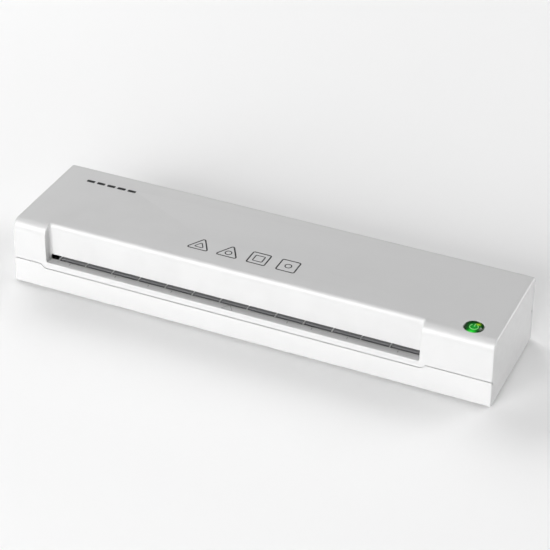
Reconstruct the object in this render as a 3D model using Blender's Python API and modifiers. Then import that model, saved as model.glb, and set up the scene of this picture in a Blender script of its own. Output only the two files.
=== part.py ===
"""A3 pouch laminator, built as separate pieces with a running roller train.

Origin: middle of the footprint, on the surface that the feet stand on.
+X is to the right as the user faces the entry slot, +Y is to the back, +Z is up.
Dimensions below are in millimetres and are scaled to metres by the helpers.
"""
import math

import bmesh
import bpy
from mathutils import Matrix, Vector

MM = 0.001

# Case
WIDTH = 430.0
FRONT = -53.0
BACK = 53.0
FOOT = 1.5
TOP = 61.8
WALL = 2.2
DRAFT = 0.02
FRONT_ROUND = 9.2
SIDE_EDGE = 1.0
GAP = 0.3

# Entry recess, slot and parting line
RECESS_X0 = -183.0
RECESS_X1 = 153.6
RECESS_Y = -44.9
RECESS_ROUND_Y = 4.4
RECESS_ROUND_Z = 6.0
SLOT_LOW = 28.1
SLOT_HIGH = 32.6
LEDGE = 2.0
LEDGE_Y = -45.2
SEAM_END = 25.6
SEAM_MID = 22.1
SEAM_JOG = 5.4
FASCIA = 2.4

# Rear cover
REAR_TOP_Y = 50.6
REAR_SIDE_Y = 47.6
REAR_CORNER = 1.2

# Paper path and frames
PATH_Z = 30.3
PATH_X0 = -166.0
PATH_X1 = 137.0
FRAME_L = -188.0
FRAME_R = 159.0
SHEET = 1.5

# Rollers
ROLLER_Y = 18.0
ROLLER_LOW_Z = 19.2
ROLLER_HIGH_Z = 41.5
SHAFT_R = 3.0
CORE_R = 8.7
SLEEVE_R = 10.7
SLEEVE_BORE = 9.0
SLEEVE_X0 = -176.0
SLEEVE_X1 = 147.0

# Gears, module 1
MODULE = 1.0
ROLLER_TEETH = 22
PINION_TEETH = 12
GEAR_X0 = 163.0
GEAR_X1 = 169.0
MESH_LOOSE = 0.25

# Motor
MOTOR_Y = -4.5
MOTOR_Z = 30.5
MOTOR_R = 24.0

# Power button
BUTTON_X = 191.0
BUTTON_Y = -35.7
BUTTON_R = 6.9
BEZEL_R = 8.0
HOLE_R = 8.3

# Control board under the button
BOARD_Z = 44.0
BOARD_T = 1.6


def new_collection(name, parent):
    collection = bpy.data.collections.new(name)
    parent.children.link(collection)
    return collection


for old in list(bpy.data.objects):
    bpy.data.objects.remove(old, do_unlink=True)

SCENE = bpy.context.scene.collection
PARTS = new_collection("pouch_laminator", SCENE)
TOOLS = new_collection("cutters", SCENE)


def material(name, color, roughness, metallic=0.0):
    mat = bpy.data.materials.new(name)
    mat.use_nodes = True
    shader = mat.node_tree.nodes["Principled BSDF"]
    shader.inputs["Base Color"].default_value = (*color, 1.0)
    shader.inputs["Roughness"].default_value = roughness
    shader.inputs["Metallic"].default_value = metallic
    return mat


WHITE = material("white_plastic", (0.72, 0.72, 0.73), 0.38)
LOWER_WHITE = material("lower_white_plastic", (0.74, 0.74, 0.75), 0.38)
REAR_WHITE = material("rear_white_plastic", (0.68, 0.68, 0.69), 0.45)
RUBBER = material("foot_rubber", (0.03, 0.03, 0.03), 0.8)
STEEL = material("zinc_steel", (0.62, 0.63, 0.65), 0.35, 1.0)
ALUMINIUM = material("aluminium", (0.78, 0.79, 0.8), 0.3, 1.0)
SILICONE = material("red_silicone", (0.42, 0.07, 0.04), 0.6)
GEAR_PLASTIC = material("gear_plastic", (0.8, 0.77, 0.68), 0.5)
BLACK = material("black_plastic", (0.02, 0.02, 0.022), 0.4)
GREY = material("grey_plastic", (0.16, 0.16, 0.17), 0.5)
GREEN = material("green_lens", (0.02, 0.5, 0.06), 0.15)
BOARD = material("board_green", (0.03, 0.2, 0.08), 0.4)
MICA = material("mica", (0.5, 0.4, 0.25), 0.6)
CERAMIC = material("insulator", (0.75, 0.7, 0.6), 0.7)
BRONZE = material("bush_plastic", (0.1, 0.09, 0.08), 0.45)
SPRING = material("spring_steel", (0.5, 0.5, 0.52), 0.3, 1.0)
WIRE = material("wire_jacket", (0.6, 0.05, 0.04), 0.5)


def link(name, bm, mat=None, tool=False):
    mesh = bpy.data.meshes.new(name)
    bmesh.ops.recalc_face_normals(bm, faces=bm.faces)
    bm.to_mesh(mesh)
    bm.free()
    obj = bpy.data.objects.new(name, mesh)
    if tool:
        TOOLS.objects.link(obj)
        obj.hide_render = True
        obj.display_type = "WIRE"
    else:
        PARTS.objects.link(obj)
        obj.data.materials.append(mat)
    return obj


def add_box(bm, lo, hi):
    made = bmesh.ops.create_cube(bm, size=1.0)
    for vert in made["verts"]:
        for axis in range(3):
            middle = (lo[axis] + hi[axis]) / 2
            vert.co[axis] = (middle + vert.co[axis] * (hi[axis] - lo[axis])) * MM
    return made["verts"]


def add_cylinder(bm, axis, center, radius, start, end, segments=24, radius_end=None):
    """Cylinder along an axis; center gives the other two coordinates in order."""
    tip = radius if radius_end is None else radius_end
    made = bmesh.ops.create_cone(
        bm, cap_ends=True, segments=segments, radius1=radius * MM, radius2=tip * MM,
        depth=(end - start) * MM,
    )
    middle = (start + end) / 2
    if axis == "X":
        turn = Matrix.Rotation(math.radians(90), 4, "Y")
        place = Vector((middle, center[0], center[1]))
    elif axis == "Y":
        turn = Matrix.Rotation(math.radians(-90), 4, "X")
        place = Vector((center[0], middle, center[1]))
    else:
        turn = Matrix.Identity(4)
        place = Vector((center[0], center[1], middle))
    bmesh.ops.transform(bm, matrix=Matrix.Translation(place * MM) @ turn, verts=made["verts"])
    return made["verts"]


def add_prism(bm, points, axis, start, end):
    """Extrude a closed outline; points are given in the two other axes in order."""
    rows = []
    for value in (start, end):
        row = []
        for first, second in points:
            if axis == "X":
                co = (value, first, second)
            elif axis == "Y":
                co = (first, value, second)
            else:
                co = (first, second, value)
            row.append(bm.verts.new(Vector(co) * MM))
        rows.append(row)
    count = len(points)
    bm.faces.new(rows[0])
    bm.faces.new(list(reversed(rows[1])))
    for i in range(count):
        j = (i + 1) % count
        bm.faces.new((rows[0][i], rows[0][j], rows[1][j], rows[1][i]))
    return rows[0] + rows[1]


def box(name, lo, hi, mat=None, tool=False):
    bm = bmesh.new()
    add_box(bm, lo, hi)
    return link(name, bm, mat, tool)


def cylinder(name, axis, center, radius, start, end, mat=None, tool=False, segments=24):
    bm = bmesh.new()
    add_cylinder(bm, axis, center, radius, start, end, segments)
    return link(name, bm, mat, tool)


def prism(name, points, axis, start, end, mat=None, tool=False):
    bm = bmesh.new()
    add_prism(bm, points, axis, start, end)
    return link(name, bm, mat, tool)


def boolean(obj, other, operation):
    mod = obj.modifiers.new(operation.lower(), "BOOLEAN")
    mod.operation = operation
    mod.solver = "EXACT"
    mod.object = other


def cut(obj, *tools):
    for tool in tools:
        boolean(obj, tool, "DIFFERENCE")


def join(obj, *tools):
    for tool in tools:
        boolean(obj, tool, "UNION")


def bevel(obj, width, segments=2, angle=40.0):
    mod = obj.modifiers.new("bevel", "BEVEL")
    mod.width = width * MM
    mod.segments = segments
    mod.limit_method = "ANGLE"
    mod.angle_limit = math.radians(angle)
    mod.use_clamp_overlap = True


def smooth(obj):
    obj.data.shade_smooth()
    obj.data.set_sharp_from_angle(angle=math.radians(35))


def set_origin(obj, point):
    """Put the object's origin on a point (mm) without moving its shape."""
    offset = Vector(point) * MM
    obj.data.transform(Matrix.Translation(-offset))
    obj.location = offset


def arc(center, radii, start, end, steps):
    points = []
    for i in range(steps + 1):
        angle = math.radians(start + (end - start) * i / steps)
        points.append((center[0] + radii[0] * math.cos(angle),
                       center[1] + radii[1] * math.sin(angle)))
    return points


def lathe_x(name, center, profile, mat, segments=32, bore=0.0):
    """Solid of revolution about an X axis; profile is a list of (x, radius)."""
    bm = bmesh.new()
    rings = []
    outline = list(profile)
    if bore:
        outline += [(profile[-1][0], bore), (profile[0][0], bore)]
    for x, radius in outline:
        ring = []
        for i in range(segments):
            angle = 2 * math.pi * i / segments
            co = Vector((x, center[0] + radius * math.cos(angle),
                         center[1] + radius * math.sin(angle)))
            ring.append(bm.verts.new(co * MM))
        rings.append(ring)
    pairs = list(zip(rings, rings[1:]))
    if bore:
        pairs.append((rings[-1], rings[0]))
    for low, high in pairs:
        for i in range(segments):
            j = (i + 1) % segments
            bm.faces.new((low[i], low[j], high[j], high[i]))
    if not bore:
        bm.faces.new(rings[0])
        bm.faces.new(list(reversed(rings[-1])))
    obj = link(name, bm, mat)
    smooth(obj)
    return obj


def case_half_width(z):
    return WIDTH / 2 - DRAFT * (z - FOOT)


def taper_sides(bm, inset):
    """Lean the vertices at the two ends inwards with height, as moulded walls do."""
    for vert in bm.verts:
        sign = 1.0 if vert.co.x > 0 else -1.0
        vert.co.x = sign * (case_half_width(vert.co.z / MM) - inset) * MM


def case_profile(inset, back, bottom):
    """Side outline of the case: flat front, round front top edge, flat top."""
    radius = FRONT_ROUND - inset
    corner = (FRONT + FRONT_ROUND, TOP - FRONT_ROUND)
    points = [(FRONT + inset, bottom)]
    points += arc(corner, (radius, radius), 180, 90, 8)
    points += [(back, TOP - inset), (back, bottom)]
    return points


def recess_outline(offset):
    """Plan of the recess: open to the front, with filleted inner corners."""
    x0 = RECESS_X0 - offset
    x1 = RECESS_X1 + offset
    radius = 3.2 + offset
    y = RECESS_Y + offset
    points = [(x0, FRONT - 8.0)]
    points += arc((x0 + radius, y - radius), (radius, radius), 180, 90, 5)
    points += arc((x1 - radius, y - radius), (radius, radius), 90, 0, 5)
    points += [(x1, FRONT - 8.0)]
    return points


# ---------------------------------------------------------------- top cover


def seam_points(shift):
    """Parting line across the front, from the left end to the right end."""
    left = RECESS_X0
    right = RECESS_X1
    return [
        (-WIDTH, SEAM_END + shift),
        (left - SEAM_JOG, SEAM_END + shift),
        (left - SEAM_JOG * 0.75, SEAM_END - 0.5 + shift),
        (left - SEAM_JOG * 0.2, SEAM_MID + 0.5 + shift),
        (left + SEAM_JOG * 0.1, SEAM_MID + shift),
        (right - SEAM_JOG * 0.1, SEAM_MID + shift),
        (right + SEAM_JOG * 0.2, SEAM_MID + 0.5 + shift),
        (right + SEAM_JOG * 0.75, SEAM_END - 0.5 + shift),
        (right + SEAM_JOG, SEAM_END + shift),
        (WIDTH, SEAM_END + shift),
    ]


def recess_solid(name, offset, bottom):
    """The volume removed in front of the recessed wall, fillets included."""
    bm = bmesh.new()
    outline = recess_outline(offset)
    levels = [(bottom, 0.0)]
    for y, z in arc((0.0, TOP - RECESS_ROUND_Z - offset), (RECESS_ROUND_Y, RECESS_ROUND_Z), 180, 90, 7):
        levels.append((z, RECESS_ROUND_Y + y))
    levels.append((TOP + 3.0, RECESS_ROUND_Y))
    rows = []
    for z, push in levels:
        row = []
        for x, y in outline:
            shift = push if y > FRONT - 1.0 else 0.0
            row.append(bm.verts.new(Vector((x, y + shift, z)) * MM))
        rows.append(row)
    count = len(outline)
    for low, high in zip(rows, rows[1:]):
        for i in range(count):
            j = (i + 1) % count
            bm.faces.new((low[i], low[j], high[j], high[i]))
    bm.faces.new(rows[0])
    bm.faces.new(list(reversed(rows[-1])))
    return link(name, bm, tool=True)


def tapered_prism(name, points, inset, mat=None, tool=False):
    bm = bmesh.new()
    add_prism(bm, points, "X", -1.0, 1.0)
    taper_sides(bm, inset)
    return link(name, bm, mat, tool)


SCREW_SPOTS = {
    "front_left": (-205.0, -22.0),
    "front_right": (206.0, -22.0),
    "rear_left": (-205.0, 38.0),
    "rear_right": (206.0, 38.0),
}
BOARD_BOSSES = [(176.0, -33.5), (203.0, -46.0)]


def make_top_cover():
    cover = tapered_prism("top_cover", case_profile(0.0, REAR_TOP_Y, FOOT), 0.0, WHITE)
    bevel(cover, SIDE_EDGE, 2, 60.0)
    hollow = tapered_prism("cover_hollow", case_profile(WALL, BACK + 5.0, FOOT - 5.0), WALL,
                           tool=True)
    wall = recess_solid("cover_recess_wall", WALL, SLOT_LOW - LEDGE)
    cut(hollow, wall)
    cut(cover, hollow)
    cut(cover, recess_solid("cover_recess", 0.0, SLOT_LOW))
    # slot through the recessed wall
    cut(cover, box("cover_slot", (RECESS_X0 + 0.6, LEDGE_Y, SLOT_LOW - LEDGE - 3.0),
                   (RECESS_X1 - 0.6, RECESS_Y + 6.0, SLOT_HIGH), tool=True))
    # room for the lower case: everything below the parting line at the front
    low = seam_points(GAP / 2)
    points = [(-WIDTH, -20.0)] + low + [(WIDTH, -20.0)]
    cut(cover, prism("cover_front_cut", points, "Y", FRONT - 5.0, FRONT + FASCIA + GAP,
                     tool=True))
    # side walls stop short of the rear cover; the top panel reaches further back
    cut(cover, box("cover_rear_cut", (-WIDTH, REAR_SIDE_Y, -20.0),
                   (WIDTH, BACK + 9.0, TOP - WALL - 1.2), tool=True))
    for name, (x, y) in SCREW_SPOTS.items():
        join(cover, cylinder("boss_" + name, "Z", (x, y), 4.0, 13.0, TOP - 1.0, tool=True,
                             segments=12))
        cut(cover, cylinder("boss_bore_" + name, "Z", (x, y), 1.8, 5.0, 26.0, tool=True,
                            segments=8))
    for i, (x, y) in enumerate(BOARD_BOSSES):
        join(cover, cylinder("board_boss_%d" % i, "Z", (x, y), 2.6, BOARD_Z + BOARD_T + GAP,
                             TOP - 1.0, tool=True, segments=12))
    cut(cover, cylinder("button_hole", "Z", (BUTTON_X, BUTTON_Y), HOLE_R, TOP - 6.0, TOP + 4.0,
                        tool=True, segments=32))
    smooth(cover)


# ---------------------------------------------------------------- lower case

FEET = {
    "front_left": (-190.0, -38.0),
    "front_right": (190.0, -38.0),
    "rear_left": (-190.0, 36.0),
    "rear_right": (190.0, 36.0),
}
FLOOR_TOP = FOOT + WALL
FOOT_R = 6.0
HEAD_R = 3.0
WELL_TOP = 8.0


def make_base_tray():
    profile = arc((FRONT + 2.0, FOOT + 2.0), (2.0, 2.0), 270, 180, 4)
    profile += [(FRONT, 40.0), (FRONT + FASCIA, 40.0), (FRONT + FASCIA, FOOT)]
    base = tapered_prism("base_tray", profile, 0.0, LOWER_WHITE)
    points = [(WIDTH, 60.0), (-WIDTH, 60.0)] + seam_points(-GAP / 2)
    cut(base, prism("fascia_trim", points, "Y", FRONT - 5.0, FRONT + 8.0, tool=True))
    half = WIDTH / 2 - WALL - GAP - 0.1
    join(base, box("tray_floor", (-half, FRONT + 1.2, FOOT), (half, REAR_SIDE_Y - GAP, FLOOR_TOP),
                   tool=True))
    vents = bmesh.new()
    for i in range(12):
        x = -150.0 + 24.0 * i
        add_box(vents, (x - 1.6, -20.0, -5.0), (x + 1.6, 6.0, 10.0))
    cut(base, link("floor_vents", vents, tool=True))
    for name, (x, y) in SCREW_SPOTS.items():
        join(base, cylinder("well_" + name, "Z", (x, y), 5.0, FOOT + 0.5, 12.6, tool=True,
                            segments=16))
        cut(base, cylinder("well_head_" + name, "Z", (x, y), HEAD_R + 0.4, -4.0, WELL_TOP,
                           tool=True, segments=16))
        cut(base, cylinder("well_bore_" + name, "Z", (x, y), 1.8, -3.0, 20.0, tool=True,
                           segments=8))
    for name, (x, y) in FEET.items():
        cut(base, cylinder("foot_seat_" + name, "Z", (x, y), FOOT_R + GAP, -2.0, FOOT + 0.7,
                           tool=True, segments=20))
    smooth(base)


def make_feet_and_screws():
    for name, (x, y) in FEET.items():
        bm = bmesh.new()
        add_cylinder(bm, "Z", (x, y), FOOT_R - 0.3, 0.0, FOOT + 0.4, 20)
        smooth(link("foot_" + name, bm, RUBBER))
    for name, (x, y) in SCREW_SPOTS.items():
        screw = cylinder("case_screw_" + name, "Z", (x, y), HEAD_R, WELL_TOP - 2.5,
                         WELL_TOP - GAP, STEEL, segments=20)
        shank = cylinder("shank_" + name, "Z", (x, y), 1.4, WELL_TOP - 1.5, 22.0, tool=True,
                         segments=12)
        join(screw, shank)
        cross = bmesh.new()
        add_box(cross, (x - 1.8, y - 0.35, 0.0), (x + 1.8, y + 0.35, WELL_TOP - 1.6))
        cut(screw, link("slot_" + name, cross, tool=True))
        smooth(screw)


# ---------------------------------------------------------------- rear cover

EXIT_X0 = -172.0
EXIT_X1 = 143.0
EXIT_LOW = 26.8
EXIT_HIGH = 34.0
INLET_X = 186.0
INLET_Z = 16.0


def make_rear_cover():
    half = WIDTH / 2
    points = [(-half, REAR_SIDE_Y - 4.0), (half, REAR_SIDE_Y - 4.0)]
    points += arc((half - REAR_CORNER, BACK - REAR_CORNER), (REAR_CORNER, REAR_CORNER), 0, 90, 5)
    points += arc((REAR_CORNER - half, BACK - REAR_CORNER), (REAR_CORNER, REAR_CORNER), 90, 180, 5)
    bm = bmesh.new()
    add_prism(bm, points, "Z", FOOT, TOP)
    for vert in bm.verts:
        lean = DRAFT * (vert.co.z / MM - FOOT) * MM
        vert.co.x -= math.copysign(lean, vert.co.x)
    rear = link("rear_cover", bm, REAR_WHITE)
    bevel(rear, SIDE_EDGE, 2, 60.0)
    cut(rear, box("rear_front_trim", (-WIDTH, 20.0, -20.0), (WIDTH, REAR_SIDE_Y + GAP, 90.0),
                  tool=True))
    cut(rear, box("rear_top_trim", (-WIDTH, 20.5, TOP - WALL - 1.2 - GAP),
                  (WIDTH, REAR_TOP_Y + GAP, 95.0), tool=True))
    cut(rear, box("rear_hollow", (-half + 3.4, 19.0, FLOOR_TOP), (half - 3.4, BACK - WALL, 56.4),
                  tool=True))
    openings = bmesh.new()
    add_box(openings, (EXIT_X0, 45.0, EXIT_LOW), (EXIT_X1, 60.0, EXIT_HIGH))
    for i in range(26):
        x = -164.5 + 12.0 * i
        add_box(openings, (x - 1.5, 45.0, 41.0), (x + 1.5, 60.0, 51.0))
    add_box(openings, (INLET_X - 9.6, 45.0, INLET_Z - 5.0), (INLET_X + 9.6, 60.0, INLET_Z + 5.0))
    cut(rear, link("rear_openings", openings, tool=True))
    smooth(rear)


def make_mains_inlet():
    inlet = box("mains_inlet", (INLET_X - 11.5, 37.0, INLET_Z - 6.5),
                (INLET_X + 11.5, 50.4, INLET_Z + 6.5), BLACK)
    join(inlet, box("inlet_nose", (INLET_X - 9.2, 45.0, INLET_Z - 4.6),
                    (INLET_X + 9.2, 52.6, INLET_Z + 4.6), tool=True))
    cavity = box("inlet_cavity", (INLET_X - 7.8, 40.0, INLET_Z - 3.2),
                 (INLET_X + 7.8, 60.0, INLET_Z + 3.2), tool=True)
    pins = bmesh.new()
    for side in (-4.4, 4.4):
        add_cylinder(pins, "Y", (INLET_X + side, INLET_Z), 1.3, 38.0, 51.0, 12)
    cut(inlet, cavity)
    join(inlet, link("inlet_pins", pins, tool=True))
    smooth(inlet)


# ---------------------------------------------------------------- power button


def ring_z(name, profile, mat, segments=32, closed=True):
    """Solid of revolution about the button axis; profile is a list of (radius, z)."""
    bm = bmesh.new()
    rings = []
    for radius, z in profile:
        ring = []
        for i in range(segments):
            angle = 2 * math.pi * i / segments
            co = Vector((BUTTON_X + radius * math.cos(angle),
                         BUTTON_Y + radius * math.sin(angle), z))
            ring.append(bm.verts.new(co * MM))
        rings.append(ring)
    pairs = list(zip(rings, rings[1:]))
    if closed:
        pairs.append((rings[-1], rings[0]))
    for low, high in pairs:
        for i in range(segments):
            j = (i + 1) % segments
            bm.faces.new((low[i], low[j], high[j], high[i]))
    if not closed:
        bm.faces.new(rings[0])
        bm.faces.new(list(reversed(rings[-1])))
    obj = link(name, bm, mat)
    smooth(obj)
    return obj


def make_button():
    inner = BUTTON_R + 0.35
    ring_z("button_bezel", [
        (inner, 58.0), (9.2, 58.0), (9.2, 59.0), (BEZEL_R, 59.0), (BEZEL_R, 61.5),
        (BEZEL_R - 0.25, 61.75), (inner + 0.2, 61.75), (inner, 61.3),
    ], BLACK)
    button = ring_z("power_button", [
        (4.6, 56.0), (8.2, 56.0), (8.2, 57.5), (BUTTON_R, 57.5), (BUTTON_R, 60.7),
        (6.2, 61.15), (3.6, 61.4), (1.2, 61.5), (1.2, 59.7), (4.6, 59.7),
    ], GREEN, closed=True)
    plug = cylinder("button_center", "Z", (BUTTON_X, BUTTON_Y), 2.0, 59.4, 61.45, tool=True,
                    segments=20)
    join(button, plug)
    stem = cylinder("button_stem", "Z", (BUTTON_X, BUTTON_Y), 1.9, 51.4, 59.1, BLACK, segments=16)
    smooth(stem)
    for obj in (button, stem):
        set_origin(obj, (BUTTON_X, BUTTON_Y, TOP))


def make_board():
    top = BOARD_Z + BOARD_T
    board = box("control_board", (172.0, -49.8, BOARD_Z), (208.5, -30.3, top), BOARD)
    bores = bmesh.new()
    for x, y in BOARD_BOSSES:
        add_cylinder(bores, "Z", (x, y), 1.5, BOARD_Z - 5.0, top + 5.0, 12)
    cut(board, link("board_holes", bores, tool=True))
    switch = box("tact_switch", (BUTTON_X - 3.0, BUTTON_Y - 3.0, top + GAP),
                 (BUTTON_X + 3.0, BUTTON_Y + 3.0, top + 3.6), BLACK)
    join(switch, cylinder("tact_plunger", "Z", (BUTTON_X, BUTTON_Y), 1.7, top + 2.0, 50.0,
                          tool=True, segments=16))
    led = bmesh.new()
    add_cylinder(led, "Z", (BUTTON_X - 5.1, BUTTON_Y), 1.5, top + GAP, top + 4.6, 16)
    smooth(link("status_led", led, GREEN))
    capacitor = box("board_capacitor", (176.0, -47.0, 33.0), (188.0, -41.0, BOARD_Z - GAP), BLACK)
    bevel(capacitor, 0.5, 1)
    plug = box("board_connector", (192.0, -46.0, 37.0), (204.5, -40.0, BOARD_Z - GAP), CERAMIC)
    bevel(plug, 0.4, 1)


# ---------------------------------------------------------------- entry and exit guides

RIB_COUNT = 13
RIB_FIRST = -175.2
RIB_PITCH = 25.05


def make_guides():
    lower = prism("entry_guide_lower",
                  [(-44.9, 25.6), (-44.9, 27.2), (-31.2, 28.9), (-31.2, 27.2)],
                  "X", -177.0, 150.4, GREY)
    for i in range(RIB_COUNT):
        x = RIB_FIRST + RIB_PITCH * i
        rib = prism("guide_rib_%d" % i,
                    [(-44.7, 26.4), (-44.7, 28.0), (-31.4, 29.3), (-31.4, 27.6)],
                    "X", x - 0.45, x + 0.45, tool=True)
        join(lower, rib)
    prism("entry_guide_upper",
          [(-42.3, 33.2), (-42.3, 34.8), (-31.2, 33.1), (-31.2, 31.5)],
          "X", -177.0, 150.4, GREY)
    prism("exit_guide_lower",
          [(31.0, 26.4), (31.0, 28.1), (47.0, 27.8), (47.0, 26.2), (38.0, 26.3)],
          "X", -186.0, 158.5, GREY)
    prism("exit_guide_upper",
          [(31.0, 32.4), (31.0, 34.0), (46.8, 34.8), (46.8, 33.1)],
          "X", -186.0, 158.5, GREY)


# ---------------------------------------------------------------- frames and heaters


def frame_outline():
    return [(-34.0, 4.1), (44.0, 4.1), (44.0, 50.0), (36.0, 57.0), (-20.0, 57.0), (-34.0, 44.0)]


def make_frames():
    for name, x0, inward in (("side_frame_left", FRAME_L, 1.0), ("side_frame_right", FRAME_R, -1.0)):
        plate = prism(name, frame_outline(), "X", x0, x0 + SHEET, STEEL)
        inner = x0 + SHEET if inward > 0 else x0
        ends = sorted((inner - inward * 0.7, inner + inward * 8.0))
        join(plate, box(name + "_foot", (ends[0], -30.0, 4.1), (ends[1], 40.0, 5.6), tool=True))
        cut(plate, cylinder(name + "_bush_hole", "X", (ROLLER_Y, ROLLER_LOW_Z), 5.3,
                            x0 - 3.0, x0 + 5.0, tool=True, segments=28))
        cut(plate, box(name + "_bush_slot", (x0 - 3.0, ROLLER_Y - 5.3, ROLLER_HIGH_Z - 5.6),
                       (x0 + 5.0, ROLLER_Y + 5.3, 54.0), tool=True))
    for name, y, z in (("tie_bar_front", -29.0, 12.0), ("tie_bar_rear", 40.0, 48.0)):
        bar = cylinder(name, "X", (y, z), 2.5, FRAME_L + SHEET + GAP, FRAME_R - GAP, STEEL,
                       segments=16)
        smooth(bar)


def make_heaters():
    low_plate = [(-30.0, 26.0), (-30.0, 28.0), (-27.5, 29.4), (2.0, 29.4), (2.0, 26.0)]
    prism("heater_plate_lower", low_plate, "X", -172.0, 143.0, ALUMINIUM)
    high_plate = [(y, 2 * PATH_Z - z) for y, z in low_plate]
    prism("heater_plate_upper", high_plate, "X", -172.0, 143.0, ALUMINIUM)
    box("heating_element_lower", (-166.0, -26.0, 24.2), (137.0, -2.0, 25.7), MICA)
    box("heating_element_upper", (-166.0, -26.0, 34.9), (137.0, -2.0, 36.4), MICA)
    for name, x0, x1 in (("heater_block_left", FRAME_L + SHEET + GAP, -172.3),
                         ("heater_block_right", 143.3, FRAME_R - GAP)):
        block = box(name, (x0, -31.0, 22.5), (x1, 3.0, 38.1), CERAMIC)
        cut(block, box(name + "_notch", (x0 - 5.0, -20.0, 28.6), (x1 + 5.0, -8.0, 32.0), tool=True))
    stat = cylinder("thermostat", "Z", (-40.0, -14.0), 6.2, 36.8, 41.5, BLACK, segments=24)
    join(stat, cylinder("thermostat_cap", "Z", (-40.0, -14.0), 3.2, 41.0, 44.5, tool=True,
                        segments=16))
    smooth(stat)
    fuse = cylinder("thermal_fuse", "X", (-14.0, 39.2), 2.2, 36.0, 48.0, STEEL, segments=16)
    smooth(fuse)


# ---------------------------------------------------------------- rollers, bushes, springs


def gear(name, center, teeth, phase, x0, x1, bore):
    """Spur gear with straight-sided teeth; phase is the angle of the first tooth."""
    pitch = MODULE * teeth / 2
    bm = bmesh.new()
    outline = []
    for i in range(teeth):
        middle = math.radians(phase) + 2 * math.pi * i / teeth
        for radius, half in ((pitch - 1.2, 1.02), (pitch, 0.64), (pitch + 0.9, 0.3)):
            outline.append((radius, middle - half / radius))
        for radius, half in ((pitch + 0.9, 0.3), (pitch, 0.64), (pitch - 1.2, 1.02)):
            outline.append((radius, middle + half / radius))
    points = [(center[0] + r * math.cos(a), center[1] + r * math.sin(a)) for r, a in outline]
    add_prism(bm, points, "X", x0, x1)
    obj = link(name, bm, GEAR_PLASTIC)
    if bore:
        cut(obj, cylinder(name + "_bore", "X", center, bore, x0 - 4.0, x1 + 4.0, tool=True,
                          segments=24))
    return obj


def make_rollers():
    for side, z in (("lower", ROLLER_LOW_Z), ("upper", ROLLER_HIGH_Z)):
        center = (ROLLER_Y, z)
        core = lathe_x(side + "_roller_core", center, [
            (-192.0, SHAFT_R), (-180.0, SHAFT_R), (-180.0, CORE_R), (151.0, CORE_R),
            (151.0, SHAFT_R), (170.4, SHAFT_R),
        ], STEEL, 20)
        sleeve = lathe_x(side + "_roller_sleeve", center, [
            (SLEEVE_X0, SLEEVE_R - 0.6), (SLEEVE_X0 + 0.6, SLEEVE_R),
            (SLEEVE_X1 - 0.6, SLEEVE_R), (SLEEVE_X1, SLEEVE_R - 0.6),
        ], SILICONE, 28, SLEEVE_BORE)
        phase = 90.0 if side == "lower" else -90.0 + 180.0 / ROLLER_TEETH
        wheel = gear(side + "_roller_gear", center, ROLLER_TEETH, phase, GEAR_X0, GEAR_X1,
                     SHAFT_R + GAP)
        for obj in (core, sleeve, wheel):
            set_origin(obj, (0.0, ROLLER_Y, z))


def pinion_center():
    angle = math.radians(90.0 + 6 * 360.0 / ROLLER_TEETH)
    reach = MODULE * (ROLLER_TEETH + PINION_TEETH) / 2 + MESH_LOOSE
    return (ROLLER_Y + reach * math.cos(angle), ROLLER_LOW_Z + reach * math.sin(angle))


def make_bushes():
    for side, inner, sign in (("left", FRAME_L + SHEET, -1.0), ("right", FRAME_R, 1.0)):
        face = inner - sign * GAP
        profile = [(face - sign * 1.5, 6.5), (face, 6.5), (face, 5.0), (face + sign * 3.6, 5.0)]
        bush = lathe_x("lower_bush_" + side, (ROLLER_Y, ROLLER_LOW_Z), profile, BRONZE, 20,
                       SHAFT_R + 0.25)
        outer = inner + sign * (SHEET + GAP)
        block = box("upper_bush_" + side,
                    (min(face - sign * 1.5, outer + sign * 1.5), ROLLER_Y - 5.0, ROLLER_HIGH_Z - 5.0),
                    (max(face - sign * 1.5, outer + sign * 1.5), ROLLER_Y + 5.0, ROLLER_HIGH_Z + 5.0),
                    BRONZE)
        for tag, start in (("in", face), ("out", outer + sign * 1.5)):
            ends = sorted((start, start - sign * 1.5))
            join(block, box("flange_%s_%s" % (tag, side),
                            (ends[0], ROLLER_Y - 7.0, ROLLER_HIGH_Z - 4.0),
                            (ends[1], ROLLER_Y + 7.0, ROLLER_HIGH_Z + 4.0), tool=True))
        cut(block, cylinder("upper_bore_" + side, "X", (ROLLER_Y, ROLLER_HIGH_Z), SHAFT_R + 0.25,
                            inner - 9.0, inner + 9.0, tool=True, segments=24))
        set_origin(block, (0.0, ROLLER_Y, ROLLER_HIGH_Z))
        make_spring("pressure_spring_" + side, (inner + sign * SHEET / 2, ROLLER_Y),
                    ROLLER_HIGH_Z + 5.9, 53.4)
        smooth(bush)


def tube(name, path, radius, mat, sides=6):
    """Round bar swept along a list of points (mm)."""
    points = [Vector(point) for point in path]
    tangents = []
    for i in range(len(points)):
        ahead = points[min(i + 1, len(points) - 1)]
        behind = points[max(i - 1, 0)]
        tangents.append((ahead - behind).normalized())
    normal = tangents[0].orthogonal().normalized()
    bm = bmesh.new()
    rings = []
    for point, tangent in zip(points, tangents):
        normal = (normal - tangent * normal.dot(tangent)).normalized()
        side = tangent.cross(normal)
        ring = []
        for k in range(sides):
            angle = 2 * math.pi * k / sides
            offset = (normal * math.cos(angle) + side * math.sin(angle)) * radius
            ring.append(bm.verts.new((point + offset) * MM))
        rings.append(ring)
    for low, high in zip(rings, rings[1:]):
        for k in range(sides):
            n = (k + 1) % sides
            bm.faces.new((low[k], low[n], high[n], high[k]))
    bm.faces.new(rings[0])
    bm.faces.new(list(reversed(rings[-1])))
    obj = link(name, bm, mat)
    smooth(obj)
    return obj


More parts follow.
